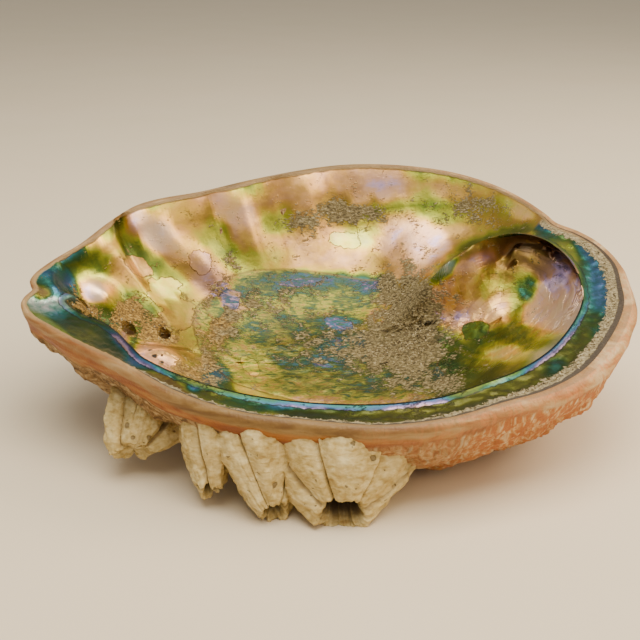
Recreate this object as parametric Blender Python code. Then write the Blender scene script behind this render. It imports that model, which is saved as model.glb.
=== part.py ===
"""Abalone shell lying on its back, hollow up, with the barnacles that grew on its outside.

The shell is worked out in its own frame, in millimetres: x runs along the length towards the
spire, v runs across towards the thin outer lip, and h is height above the plane of the rim. It is
then leaned towards the barnacles and stood on its worn crown, and is written in metres.
"""

import math

import bmesh
import bpy
import numpy as np
from mathutils import Vector
from mathutils.bvhtree import BVHTree

MM = 0.001

# Lean of the rim's plane towards the barnacles, and how deep the crown is worn flat.
LEAN_DEG = 14.0
CROWN_WEAR = 3.0

# Sections of the loft, counter-clockwise from the spire end. The columns are: rim x, v; the inner
# lip facing it x, v, h; how far the ledge between them is slung from edge to edge, and its sag;
# how far the lip stands up out of the hollow; the undercut below it; the wall's outward bulge.
SECTIONS = (
    (95, -5, 82, -7, -1.0, 1, 1.2, 1, 5, 3.2),
    (95.5, 6, 82.3, 2.5, -1.0, 1, 1.2, 1, 6, 2.4),
    (92, 17.5, 80.5, 12, -0.8, 1, 1.2, 1, 7, 2.0),
    (86.5, 25, 76.5, 20, -0.6, 1, 1.0, 1, 7, 2.0),
    (80, 30.5, 71.5, 24.5, -0.6, 1, 1.2, 1, 7, 2.0),
    (77, 37.5, 65.5, 27, -1.2, 1, 3.5, 1, 7, 2.0),
    (71, 48, 59, 27.5, -2.6, 1, 8, 1, 6, 2.0),
    (62.5, 58, 52.5, 27, -5.0, 1, 11, 1, 5, 2.0),
    (50, 67, 46.5, 25.5, -8.5, 1, 13, 1, 4, 2.0),
    (37, 72, 41, 24, -12.5, 0.8, 14, 1, 3, 2.0),
    (22, 74.5, 35, 22, -17, 0.45, 14, 0.8, 1.5, 2.0),
    (6, 74, 27, 20, -22, 0.1, 14, 0.3, 0, 2.0),
    (-10, 69.5, 14, 18, -24, 0, 10, 0, 0, 2.0),
    (-28, 62, -2, 15, -20, 0, 5, 0, 0, 2.0),
    (-46, 53, -20, 10, -18, 0, 2, 0, 0, 2.0),
    (-60, 48, -36, 5, -16, 0, 1, 0, 0, 1.8),
    (-68, 43, -50, 1, -14, 0, 1, 0, 0, 1.6),
    (-75.5, 32, -61, -2, -12, 0, 1, 0, 0, 1.4),
    (-83, 17.5, -70, -3, -10, 0, 1, 0, 0, 1.3),
    (-91, 6, -77, -3, -7, 0.1, 1, 0.2, 0, 1.2),
    (-95, -3, -82, -4, -4.5, 0.5, 1.2, 0.6, 0, 1.2),
    (-93, -9, -84, -7.5, -5, 0.8, 1.2, 0.8, 0, 1.2),
    (-95, -15.5, -83.5, -10.5, -4, 1, 1.5, 1, 0, 1.2),
    (-92, -22, -80.5, -14, -4.2, 1, 1.5, 1, 0, 1.5),
    (-84, -29, -75, -18, -4.5, 1, 1.5, 1, 0, 1.8),
    (-77, -34.5, -69, -22, -4.2, 1, 1.5, 1, 0, 2.0),
    (-70.5, -39, -63.5, -29, -3.0, 1, 1.4, 1, 0, 2.2),
    (-63.5, -43.5, -58.5, -37, -1.8, 1, 1.2, 1, 0, 2.4),
    (-57, -48.5, -53.5, -43.5, -1.2, 1, 1, 1, 0.5, 2.6),
    (-42, -60, -40.5, -52, -1.2, 1, 1.2, 1, 1, 2.8),
    (-24, -68.5, -24.5, -59, -1.3, 1, 1.2, 1, 1.5, 2.8),
    (-5, -72, -5, -63, -1.4, 1, 1.2, 1, 1.5, 2.8),
    (15, -74, 14.5, -63.7, -1.4, 1, 1.2, 1, 2, 2.8),
    (33, -71, 31, -60.8, -1.4, 1, 1.2, 1, 2, 3.0),
    (49, -64.5, 45.5, -54, -1.3, 1, 1.2, 1, 2.5, 3.6),
    (62, -59, 56, -48.3, -1.2, 1, 1.2, 1, 3, 4.2),
    (74.5, -49.5, 66.5, -39, -1.1, 1, 1.2, 1, 3.5, 5.0),
    (85.5, -34, 75.5, -26, -1.0, 1, 1.2, 1, 4, 5.0),
    (93, -18, 80.5, -15, -1.0, 1, 1.2, 1, 4.5, 4.4),
)
SPIRE = np.array([61.0, 9.0])
SPIRE_FLOOR = -24.0

# The hollow: where it is deepest, how deep, and its wall's curve. The second exponent makes the
# wall steep. It runs from the first of its pair at the near side to the second at the far side.
HOLLOW_CENTRE = np.array([0.0, -8.0])
HOLLOW_DEPTH = 39.5
HOLLOW_CURVE = (2.4, (0.5, 0.64))

# The outside of the shell, in the same terms.
CROWN_CENTRE = np.array([2.0, 8.0])
CROWN_DEPTH = 46.5
CROWN_CURVE = (2.6, (0.45, 0.90))

# Swells of the nacre inside: x, v, half length, half width, turn in degrees, height.
SWELLS = (
    (-77.5, 10, 5.5, 5.0, 0, 4.5),
    (-54.5, -7, 9, 7, 10, 4.5),
    (-56, 42, 15, 5.5, -12, 2.6),
    (-43, 35, 5, 5, 0, 2.0),
    (-71, 27, 14, 4, -45, -1.3),
    (-67, 20, 9, 3.5, -45, 1.6),
    (-37, 47, 12, 4.5, -55, -1.4),
    (-28, 54, 12, 5, -62, 1.8),
    (-15, 58, 12, 4.5, -70, -1.0),
    (-4, 62, 12, 5, -75, 1.2),
    (33, 47, 11, 12, 0, 3.0),
    (12, 60, 20, 3, 0, -1.0),
    (-60, 14, 8, 5, -30, 1.0),
    (-50, 14, 5, 8, -10, -1.0),
)

# Lumps of the crust outside, in the same terms, and the ridges where growth paused.
LUMPS = (
    (-70, -30, 12, 8, 30, 1.8),
    (-46, -46, 14, 8, -30, 1.6),
    (60, -46, 14, 6, 25, 1.6),
    (80, -22, 10, 7, 60, 1.2),
    (-30, 40, 18, 8, -20, 1.8),
    (25, 52, 16, 7, 10, 1.6),
    (-70, 30, 14, 10, 30, 2.6),
    (-20, 60, 16, 8, -15, 1.6),
    (52, 30, 12, 9, 30, 1.6),
)
GROWTH_RIDGE = (14.0, 0.7)

# The knob of old whorls at the back of the spire: centre, half width, height.
OLD_WHORLS = (64.0, 12.0, 15.0, 4.0)

# Open breathing holes: x, v and radius, all drilled straight through the wall.
HOLES = ((-82.5, 2.0, 2.2), (-68.0, 4.0, 2.5), (-56.5, 7.0, 2.3))

# Barnacles: the middle of the mouth and of the foot in the stood shell's axes, the foot's and the
# mouth's half width and half height, number of ribs, depth of the mouth as a share of the height.
BARNACLES = {
    "barnacle_large": ((4, -76.8, 4.5), (3, -61, 14.5), (20, 16), (6.8, 4.8), 26, 0.6),
    "barnacle_middle": ((-15, -74, 3.45), (-20, -59, 13.5), (15, 15), (4.6, 3.6), 22, 0.5),
    "barnacle_narrow": ((-32, -66.5, 6.0), (-36.5, -56, 16), (10.5, 11), (3.8, 2.8), 14, 0.5),
    "barnacle_worn": ((-57, -51, 9.5), (-58, -44, 12.5), (15.5, 7.5), (8.5, 4.0), 9, 0.25),
}

# Neighbours that grew against each other meet at an upright wall: left one, right one, x of it.
SHARED_WALLS = (
    ("barnacle_middle", "barnacle_large", -11.0),
    ("barnacle_narrow", "barnacle_middle", -31.0),
)
SUNK = 1.5
CLEARANCE = 0.35

# How finely the loft is divided: columns round the rim, and rows on each stretch of a section.
COLUMNS = 72
FLOOR_ROWS = 11
LEDGE_ROWS = 8
OUTSIDE_ROWS = 16
BARNACLE_SIDES = 40


def unit(vectors):
    return vectors / np.linalg.norm(vectors, axis=-1, keepdims=True)


def smooth(share):
    share = np.clip(share, 0, 1)
    return share * share * (3 - 2 * share)


def closed_spline(values, count):
    """`count` rows of a smooth closed curve through `values`, even along its first two columns."""
    gaps = np.linalg.norm(np.roll(values, -1, 0)[:, :2] - values[:, :2], axis=1)
    knots = np.concatenate([[0], np.cumsum(gaps)])
    slopes = (np.roll(values, -1, 0) - np.roll(values, 1, 0)) / (gaps + np.roll(gaps, 1))[:, None]
    place = np.linspace(0, knots[-1], count, endpoint=False)
    piece = np.clip(np.searchsorted(knots, place, side="right") - 1, 0, len(values) - 1)
    after = (piece + 1) % len(values)
    gap = gaps[piece][:, None]
    t = (place - knots[piece])[:, None] / gap
    start = (2 * t**3 - 3 * t**2 + 1) * values[piece] + (t**3 - 2 * t**2 + t) * gap * slopes[piece]
    end = (3 * t**2 - 2 * t**3) * values[after] + (t**3 - t**2) * gap * slopes[after]
    return start + end


def outward(outline):
    """Unit vectors pointing out of a counter-clockwise outline, one for each of its points."""
    along = np.roll(outline, -1, 0) - np.roll(outline, 1, 0)
    return unit(np.stack([along[:, 1], -along[:, 0]], 1))


def swelling(swells, x, v):
    """The summed height at x, v of smooth oval swells."""
    height = np.zeros(np.shape(x))
    for cx, cv, long, wide, turn, rise in swells:
        c, s = math.cos(math.radians(turn)), math.sin(math.radians(turn))
        along = ((x - cx) * c + (v - cv) * s) / long
        across = ((v - cv) * c - (x - cx) * s) / wide
        height += rise * np.exp(-(along**2 + across**2))
    return height


class Dish:
    """A dished surface that meets a closed outline at the rim's plane."""

    def __init__(self, outline, centre, depth, curve):
        away = outline - centre
        angle = np.arctan2(away[:, 1], away[:, 0])
        order = np.argsort(angle)
        self.centre, self.depth, self.curve = centre, depth, curve
        self.angle, self.reach = angle[order], np.linalg.norm(away, axis=1)[order]

    def height(self, points):
        away = points - self.centre
        angle = np.arctan2(away[..., 1], away[..., 0])
        reach = np.interp(angle, self.angle, self.reach, period=2 * math.pi)
        share = np.clip(np.linalg.norm(away, axis=-1) / reach, 0, 1)
        near, far = self.curve[1]
        power = near + (far - near) * (0.5 + 0.5 * np.sin(angle))
        return -self.depth * (1 - share ** self.curve[0]) ** power


class Shell:
    """The shell as rings of points (x, v, h): its hollow, its ledge and lip, and its outside."""

    def __init__(self, columns):
        section = closed_spline(np.array(SECTIONS, float), columns)
        self.rim, self.lip, self.lip_h = section[:, :2], section[:, 2:4], section[:, 4]
        shelf, sag, stand, under, bulge = section[:, 5:].T
        self.shelf, self.stand = np.clip(shelf, 0, 1), np.clip(stand, 0, 1)
        self.sag, self.under = np.clip(sag, 0, None), np.clip(under, 0, None)
        self.bulge = bulge
        self.edge = self.rim + outward(self.rim) * bulge[:, None]
        fine = closed_spline(np.array(SECTIONS, float), 720)
        level = np.clip(fine[:, 5:6], 0, 1) * np.clip(1 - (fine[:, 6:7] - 1.2) / 8, 0, 1)
        mouth = fine[:, :2] * (1 - level) + fine[:, 2:4] * level
        edge = fine[:, :2] + outward(fine[:, :2]) * fine[:, 9:10]
        self.hollow = Dish(mouth, HOLLOW_CENTRE, HOLLOW_DEPTH, HOLLOW_CURVE)
        self.crown = Dish(edge, CROWN_CENTRE, CROWN_DEPTH, CROWN_CURVE)
        self.rise = (self.lip_h - self.hollow.height(self.lip)) * self.stand
        self.pit_depth = SPIRE_FLOOR - self.hollow.height(SPIRE)

    def open_height(self, flat, reach):
        """The hollow's own surface, drawn up to the lip within `reach` of it and down at the spire."""
        gone = np.linalg.norm(flat - self.lip, axis=1)
        pit = np.exp(-np.sum((flat - SPIRE) ** 2, 1) / 16**2)
        return self.hollow.height(flat) + self.rise * np.exp(-((gone / reach) ** 2)) + self.pit_depth * pit

    def floor_ring(self, t):
        """A ring of the hollow, from the lip at t = 0 to the spire's pit at t = 1."""
        flat = self.lip + (SPIRE - self.lip) * t**1.6
        plain = np.column_stack([flat, self.open_height(flat, 7)])
        out = unit(self.lip - SPIRE)
        foot = self.lip + out * (self.under * 0.75)[:, None]
        foot_h = np.minimum(self.hollow.height(foot), self.lip_h - 6)
        if t <= 0.4:
            wall = t / 0.4
            push = self.under * (0.75 * wall + 0.45 * math.sin(math.pi * wall))
            bent = self.lip + out * push[:, None]
            bent_h = self.lip_h + (foot_h - self.lip_h) * smooth(wall) ** 0.8
        else:
            share = (t - 0.4) / 0.6
            bent = foot + (SPIRE - foot) * share
            bent_h = foot_h + (SPIRE_FLOOR - foot_h) * smooth(share) ** 0.7
        hang = smooth((self.under - 2) / 3)[:, None]
        return plain * (1 - hang) + np.column_stack([bent, bent_h]) * hang

    def ledge_ring(self, t):
        """A ring between the rim at t = 0 and the lip at t = 1."""
        flat = self.rim + (self.lip - self.rim) * t
        slung = self.lip_h * t - self.sag * math.sin(math.pi * t) ** 0.8
        height = self.open_height(flat, 5) * (1 - self.shelf) + slung * self.shelf
        return np.column_stack([flat, height])

    def crest_ring(self):
        return np.column_stack([(self.rim + self.edge) / 2, np.full(len(self.rim), 0.4)])

    def outside_ring(self, t):
        """A ring of the outside, from the rim's outer edge at t = 0 to below the spire at t = 1."""
        flat = self.edge + (SPIRE - self.edge) * t**1.9
        return np.column_stack([flat, self.crown.height(flat) - 0.4 * self.bulge * (1 - t) ** 8])

    def rings(self):
        """All rings from the pit of the spire to the rim and down round the outside, and the poles."""
        floor = [self.floor_ring(t) for t in np.linspace(1, 0, FLOOR_ROWS + 1)[1:]]
        ledge = [self.ledge_ring(t) for t in np.linspace(1, 0, LEDGE_ROWS + 1)[1:]]
        outside = [self.outside_ring(t) for t in np.linspace(0, 1, OUTSIDE_ROWS + 1)[:-1]]
        within = np.array(floor + ledge)
        without = np.array([self.crest_ring()] + outside)
        within = relieved(within, swelling(SWELLS, within[..., 0], within[..., 1]))
        without = relieved(without, self.crust(without))
        inner_pole = np.array([*SPIRE, SPIRE_FLOOR])
        outer_pole = np.array([*SPIRE, self.crown.height(SPIRE) - OLD_WHORLS[3]])
        return inner_pole, np.concatenate([within, without]), outer_pole

    def crust(self, points):
        """How far the crust stands out of the outside, fading towards the rim."""
        x, v, h = np.moveaxis(points, -1, 0)
        spacing, rise = GROWTH_RIDGE
        away = np.hypot(x - SPIRE[0], v - SPIRE[1])
        ridges = rise * np.sin(2 * math.pi * away / spacing) * smooth((-h - 3) / 8) * smooth((h + 45) / 8)
        knob_x, knob_v, knob_width, knob_height = OLD_WHORLS
        knob = knob_height * np.exp(-((x - knob_x) ** 2 + (v - knob_v) ** 2) / knob_width**2)
        return ridges + knob + swelling(LUMPS, x, v) * smooth(-h / 6)


def relieved(grid, height):
    """A grid of rings with each point moved out of the material by its height."""
    inward = np.gradient(grid, axis=0)
    onward = np.roll(grid, -1, 1) - np.roll(grid, 1, 1)
    return grid + unit(np.cross(inward, onward)) * height[..., None]


def leaned(points):
    """Points of the shell's frame leaned about the x axis, still in millimetres."""
    c, s = math.cos(math.radians(LEAN_DEG)), math.sin(math.radians(LEAN_DEG))
    x, v, h = np.moveaxis(np.asarray(points, float), -1, 0)
    return np.stack([x, v * c - h * s, v * s + h * c], -1)


def loft(name, start, rings, end):
    """A closed mesh through rings of points in millimetres, each end drawn in to one point."""
    bm = bmesh.new()
    first = bm.verts.new(Vector(start) * MM)
    rows = [[bm.verts.new(Vector(p) * MM) for p in ring] for ring in rings]
    last = bm.verts.new(Vector(end) * MM)
    count = len(rows[0])
    for c in range(count):
        n = (c + 1) % count
        bm.faces.new((first, rows[0][c], rows[0][n]))
        bm.faces.new((last, rows[-1][n], rows[-1][c]))
        for above, below in zip(rows, rows[1:]):
            bm.faces.new((above[c], below[c], below[n], above[n]))
    bmesh.ops.recalc_face_normals(bm, faces=bm.faces)
    bmesh.ops.triangulate(bm, faces=bm.faces, quad_method="SHORT_EDGE")
    mesh = bpy.data.meshes.new(name)
    bm.to_mesh(mesh)
    bm.free()
    return bpy.data.objects.new(name, mesh)


def material(name, colour, roughness):
    made = bpy.data.materials.new(name)
    made.use_nodes = True
    shader = made.node_tree.nodes["Principled BSDF"]
    shader.inputs["Base Color"].default_value = (*colour, 1)
    shader.inputs["Roughness"].default_value = roughness
    return made


def cut(obj, cutter):
    """Take a cutter's shape out of an object."""
    modifier = obj.modifiers.new(cutter.name, "BOOLEAN")
    modifier.object = cutter
    modifier.operation = "DIFFERENCE"
    modifier.solver = "EXACT"


def as_cutter(obj, cutters):
    obj.hide_render = True
    obj.display_type = "WIRE"
    cutters.objects.link(obj)
    return obj


def make_shell(parts, cutters):
    """The shell, stood on its worn crown, with its breathing holes. Gives it and its lift."""
    inner, rings, outer = Shell(COLUMNS).rings()
    inner, rings, outer = leaned(inner), leaned(rings), leaned(outer)
    lift = -rings[..., 2].min() - CROWN_WEAR
    up = np.array([0, 0, lift])
    rings = rings + up
    rings[..., 2] = np.maximum(rings[..., 2], 0)
    shell = loft("shell", inner + up, rings, outer + up)
    parts.objects.link(shell)
    for number, (x, v, radius) in enumerate(HOLES):
        bpy.ops.mesh.primitive_cylinder_add(vertices=12, radius=radius * MM, depth=0.05)
        drill = bpy.context.object
        bpy.context.collection.objects.unlink(drill)
        drill.name = f"hole_{number + 1}"
        drill.location = Vector(leaned([x, v, -22]) + up) * MM
        drill.rotation_euler.x = math.radians(LEAN_DEG)
        cut(shell, as_cutter(drill, cutters))
    return shell, lift


def make_room(shell, cutters):
    """A cutter of the shell's outside, filled across the rim and grown by the clearance."""
    room = bpy.data.objects.new("shell_room", shell.data.copy())
    bm = bmesh.new()
    bm.from_mesh(room.data)
    bm.verts.ensure_lookup_table()
    inner = 1 + (FLOOR_ROWS + LEDGE_ROWS) * COLUMNS
    bmesh.ops.delete(bm, geom=bm.verts[:inner], context="VERTS")
    filled = bmesh.ops.holes_fill(bm, edges=bm.edges, sides=0)
    bmesh.ops.triangulate(bm, faces=filled["faces"])
    bm.to_mesh(room.data)
    bm.free()
    displace = room.modifiers.new("room", "DISPLACE")
    displace.strength = CLEARANCE * MM
    displace.mid_level = 0
    return as_cutter(room, cutters)


def make_barnacle(name, surface, sides):
    """One barnacle: ribbed walls from a foot that follows the shell up to a hollowed mouth."""
    mouth, foot, foot_size, mouth_size, ribs, depth = BARNACLES[name]
    mouth, foot = np.array(mouth, float), np.array(foot, float)
    axis = unit(mouth - foot)
    side = unit(np.cross(axis, [0, 0, 1]))
    rise = np.cross(side, axis)
    angle = np.linspace(0, 2 * math.pi, sides, endpoint=False)
    across, upward = np.cos(angle)[:, None] * side, np.sin(angle)[:, None] * rise
    spin = across + upward
    rib = 0.5 + 0.5 * np.cos(ribs * angle)
    seam = np.abs(np.cos(3 * angle + 0.4)) ** 12
    uneven = 1 + 0.06 * np.cos(2 * angle + ribs) + 0.05 * np.cos(3 * angle + 2 * ribs)
    spread = (across * foot_size[0] + upward * foot_size[1]) * uneven[:, None]
    top = mouth + across * mouth_size[0] + upward * mouth_size[1]
    top = top + axis * (0.9 * np.cos(3 * angle + ribs) - 1.2 * seam)[:, None]

    def sunk(points):
        found = [surface.find_nearest(Vector(point) * MM) for point in points]
        return np.array([np.array(near) / MM - np.array(normal) * SUNK for near, normal, _, _ in found])

    base = sunk(foot + spread)
    cap = [sunk(foot + spread * share) for share in (0.35, 0.7)]
    walls = []
    for share in (0.1, 0.35, 0.65, 0.9, 1.0):
        ring = base + (top - base) * share
        bow = foot_size[0] * 0.09 * math.sin(math.pi * share)
        relief = (0.9 * rib - 0.9 * seam) * (1 - 0.6 * share) * (0.4 if share < 0.2 else 1)
        walls.append(ring + spin * (bow + relief)[:, None])
    height = np.linalg.norm(mouth - foot)
    lips = [mouth + (walls[-1] - mouth) * 0.72 - axis * 0.5]
    lips += [mouth + (walls[-1] - mouth) * 0.66 - axis * height * depth * share for share in (0.5, 1.0)]
    bottom = mouth - axis * height * depth
    barnacle = loft(name, sunk([foot])[0], cap + [base] + walls + lips, bottom)
    for vertex in barnacle.data.vertices:
        vertex.co.z = max(vertex.co.z, 0)
    return barnacle


def part_neighbours(barnacles, cutters):
    """Cut neighbours back to their shared walls, leaving the clearance between them."""
    reach = 60
    for left, right, x in SHARED_WALLS:
        for name, way in ((left, 1), (right, -1)):
            bpy.ops.mesh.primitive_cube_add(size=reach * MM)
            block = bpy.context.object
            bpy.context.collection.objects.unlink(block)
            block.name = f"{name}_side"
            block.location = Vector((x + way * (reach - CLEARANCE) / 2, -60, 10)) * MM
            cut(barnacles[name], as_cutter(block, cutters))


def shift_to_origin(objects):
    """The shift that brings the middle of the whole over the origin, as it stands on the ground."""
    corners = np.array([vertex.co for obj in objects for vertex in obj.data.vertices])
    shift = -(corners.min(0) + corners.max(0)) / 2
    return np.array([shift[0], shift[1], 0.0])


def build():
    for obj in list(bpy.data.objects):
        bpy.data.objects.remove(obj)
    parts = bpy.data.collections.new("abalone_shell")
    cutters = bpy.data.collections.new("cutters")
    bpy.context.scene.collection.children.link(parts)
    bpy.context.scene.collection.children.link(cutters)
    shell, lift = make_shell(parts, cutters)
    shell.data.materials.append(material("nacre_and_crust", (0.55, 0.45, 0.30), 0.35))
    room = make_room(shell, cutters)
    points = [vertex.co for vertex in room.data.vertices]
    surface = BVHTree.FromPolygons(points, [face.vertices for face in room.data.polygons])
    chalk = material("chalk", (0.72, 0.66, 0.52), 0.9)
    barnacles = {name: make_barnacle(name, surface, BARNACLE_SIDES) for name in BARNACLES}
    for barnacle in barnacles.values():
        barnacle.data.materials.append(chalk)
        parts.objects.link(barnacle)
        cut(barnacle, room)
    part_neighbours(barnacles, cutters)
    shift = shift_to_origin([shell] + list(barnacles.values()))
    for obj in list(parts.objects) + list(cutters.objects):
        obj.location += Vector(shift)
    return lift, shift / MM


LIFT, SHIFT = build()
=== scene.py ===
"""Abalone shell lying on its back, hollow up, with the barnacles that grew on its outside.

Shapes are worked out in millimetres in the rim's own frame: x along the length towards the spire,
v across towards the thin outer lip, h above the rim's plane. They are then leaned and stood.
"""

import math

import bmesh
import bpy
import numpy as np
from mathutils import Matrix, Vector, noise
from mathutils.bvhtree import BVHTree
from mathutils.kdtree import KDTree


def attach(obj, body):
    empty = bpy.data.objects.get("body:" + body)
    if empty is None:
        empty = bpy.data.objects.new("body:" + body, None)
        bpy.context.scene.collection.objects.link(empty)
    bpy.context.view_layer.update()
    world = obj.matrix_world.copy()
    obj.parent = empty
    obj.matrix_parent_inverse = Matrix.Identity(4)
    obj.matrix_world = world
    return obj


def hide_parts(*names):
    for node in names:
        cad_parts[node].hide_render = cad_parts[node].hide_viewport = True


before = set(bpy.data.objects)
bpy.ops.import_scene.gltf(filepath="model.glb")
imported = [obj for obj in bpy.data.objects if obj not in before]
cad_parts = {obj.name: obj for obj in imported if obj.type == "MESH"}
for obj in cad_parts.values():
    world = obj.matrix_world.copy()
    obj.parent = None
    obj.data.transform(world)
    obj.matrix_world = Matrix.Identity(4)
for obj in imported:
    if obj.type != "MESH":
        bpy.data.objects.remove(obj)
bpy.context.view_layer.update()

MM = 0.001
LEAN = math.radians(14)
STAND = np.array([-1.2302, 2.7377, 47.0055])

# The view from the front: the eye's place, how far it is tilted up from straight down, the
# tangent of half its width, and its width in the photo's pixels.
EYE = np.array([-3.334, -319.990, 160.978])
VIEW_TILT = math.radians(68)
VIEW_SPREAD = math.tan(math.radians(17))
VIEW_WIDTH = 640

# Sections of the loft, counter-clockwise from the spire end. The columns are: rim x, v; the inner
# lip facing it x, v, h; how far the ledge between them is slung from edge to edge, and its sag;
# how far the lip stands up out of the hollow; the undercut below it; the wall's outward bulge.
SECTIONS = (
    (95, -5, 82, -7, -1.0, 1, 1.2, 1, 5, 3.2),
    (95.5, 6, 82.3, 2.5, -1.0, 1, 1.2, 1, 6, 2.4),
    (92, 17.5, 80.5, 12, -0.8, 1, 1.2, 1, 7, 2.0),
    (86.5, 25, 76.5, 20, -0.6, 1, 1.0, 1, 7, 2.0),
    (80, 30.5, 71.5, 24.5, -0.6, 1, 1.2, 1, 6, 2.0),
    (77, 37.5, 65.5, 27, -1.2, 1, 3.5, 1, 4.6, 2.0),
    (71, 48, 59, 27, -2.6, 1, 8, 1, 3.2, 2.0),
    (62.5, 58, 52.5, 26, -5.0, 1, 11, 1, 2.0, 2.0),
    (50, 67, 46.5, 24.5, -8.5, 1, 13, 1, 1, 2.0),
    (37, 72, 41, 23, -12.5, 0.8, 14, 1, 0, 2.0),
    (22, 74.5, 35, 22, -17, 0.45, 14, 0.8, 0, 2.0),
    (6, 74, 27, 20, -22, 0.1, 14, 0.3, 0, 2.0),
    (-10, 69.5, 14, 18, -24, 0, 10, 0, 0, 2.0),
    (-28, 62, -2, 15, -20, 0, 5, 0, 0, 2.0),
    (-46, 53, -20, 10, -18, 0, 2, 0, 0, 2.0),
    (-60, 48, -36, 5, -16, 0, 1, 0, 0, 1.8),
    (-68, 43, -50, 1, -14, 0, 1, 0, 0, 1.6),
    (-75.5, 32, -61, -2, -12, 0, 1, 0, 0, 1.4),
    (-83, 17.5, -70, -3, -10, 0, 1, 0, 0, 1.3),
    (-91, 6, -77, -3, -7, 0.1, 1, 0.2, 0, 1.2),
    (-95, -3, -82, -4, -4.5, 0.5, 1.2, 0.6, 0, 1.2),
    (-93, -9, -84, -7.5, -5, 0.8, 1.2, 0.8, 0, 1.2),
    (-95, -15.5, -83.5, -10.5, -4, 1, 1.5, 1, 0, 1.2),
    (-92, -22, -80.5, -14, -4.2, 1, 1.5, 1, 0, 1.5),
    (-84, -29, -75, -18, -4.5, 1, 1.5, 1, 0, 1.8),
    (-77, -34.5, -69, -22, -4.2, 1, 1.5, 1, 0, 2.0),
    (-70.5, -39, -63.5, -29, -3.0, 1, 1.4, 1, 0, 2.2),
    (-63.5, -43.5, -58.5, -37, -1.8, 1, 1.2, 1, 0, 2.4),
    (-57, -48.5, -53.5, -43.5, -1.2, 1, 1, 1, 0.5, 2.6),
    (-42, -60, -40.5, -52, -1.2, 1, 1.2, 1, 1, 2.8),
    (-24, -68.5, -24.5, -59, -1.3, 1, 1.2, 1, 1.5, 2.8),
    (-5, -72, -5, -63, -1.4, 1, 1.2, 1, 1.5, 2.8),
    (15, -74, 14.5, -63.7, -1.4, 1, 1.2, 1, 2, 2.8),
    (33, -71, 31, -60.8, -1.4, 1, 1.2, 1, 2, 3.0),
    (49, -64.5, 45.5, -54, -1.3, 1, 1.2, 1, 2.5, 3.6),
    (62, -59, 56, -48.3, -1.2, 1, 1.2, 1, 3, 4.2),
    (74.5, -49.5, 66.5, -39, -1.1, 1, 1.2, 1, 3.5, 5.0),
    (85.5, -34, 75.5, -26, -1.0, 1, 1.2, 1, 4, 5.0),
    (93, -18, 80.5, -15, -1.0, 1, 1.2, 1, 4.5, 4.4),
)
SPIRE = np.array([61.0, 9.0])
SPIRE_FLOOR = -24.0

# The hollow: where it is deepest, how deep, and its wall's curve. The second exponent makes the
# wall steep. It runs from the first of its pair at the near side to the second at the far side.
HOLLOW_CENTRE = np.array([0.0, -8.0])
HOLLOW_DEPTH = 39.5
HOLLOW_CURVE = (2.4, (0.5, 0.64))

# The outside of the shell, in the same terms.
CROWN_CENTRE = np.array([2.0, 8.0])
CROWN_DEPTH = 46.5
CROWN_CURVE = (2.6, (0.45, 0.90))

# Swells of the nacre inside: x, v, half length, half width, turn in degrees, height.
SWELLS = (
    (-78, 9.5, 5.5, 5, 0, 4.5), (-54.5, -7, 9, 7, 10, 4.5), (-54.5, 42.5, 13, 5.5, -12, 3.6),
    (-42, 37, 5, 5, 0, 2.4), (-69.5, 33, 12, 3.4, -50, -2.4), (-76, 24, 6, 3.6, 50, 2),
    (-67, 22, 9, 3.5, -40, 2.2), (-82, 13, 4, 3, 50, -1.4), (-37, 47, 12, 4.5, -55, -1.3),
    (-28, 53, 12, 5, -62, 2.4), (-15, 57, 12, 4.5, -70, -1.6), (-4, 60, 12, 5, -75, 1.8),
    (33, 47, 11, 12, 0, 3), (12, 60, 20, 3, 0, -1), (-60, 14, 8, 5, -30, 1), (-50, 14, 5, 8, -10, -1),
)

# Lumps of the crust outside, in the same terms, and the ridges where growth paused.
LUMPS = (
    (-70, -30, 12, 8, 30, 1.8), (-46, -46, 14, 8, -30, 1.6), (60, -46, 14, 6, 25, 1.6),
    (80, -22, 10, 7, 60, 1.2), (-30, 40, 18, 8, -20, 1.8), (25, 52, 16, 7, 10, 1.6),
    (-70, 30, 14, 10, 30, 2.6), (-20, 60, 16, 8, -15, 1.6), (52, 30, 12, 9, 30, 1.6),
)
GROWTH_RIDGE = (14.0, 0.7)

# The knob of old whorls at the back of the spire: centre, half width, height.
OLD_WHORLS = (64.0, 12.0, 15.0, 4.0)

# Open breathing holes: x, v and radius, all drilled straight through the wall.
HOLES = ((-82.5, 2.0, 2.2), (-68.0, 4.0, 2.5), (-56.5, 7.0, 2.3))

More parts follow.
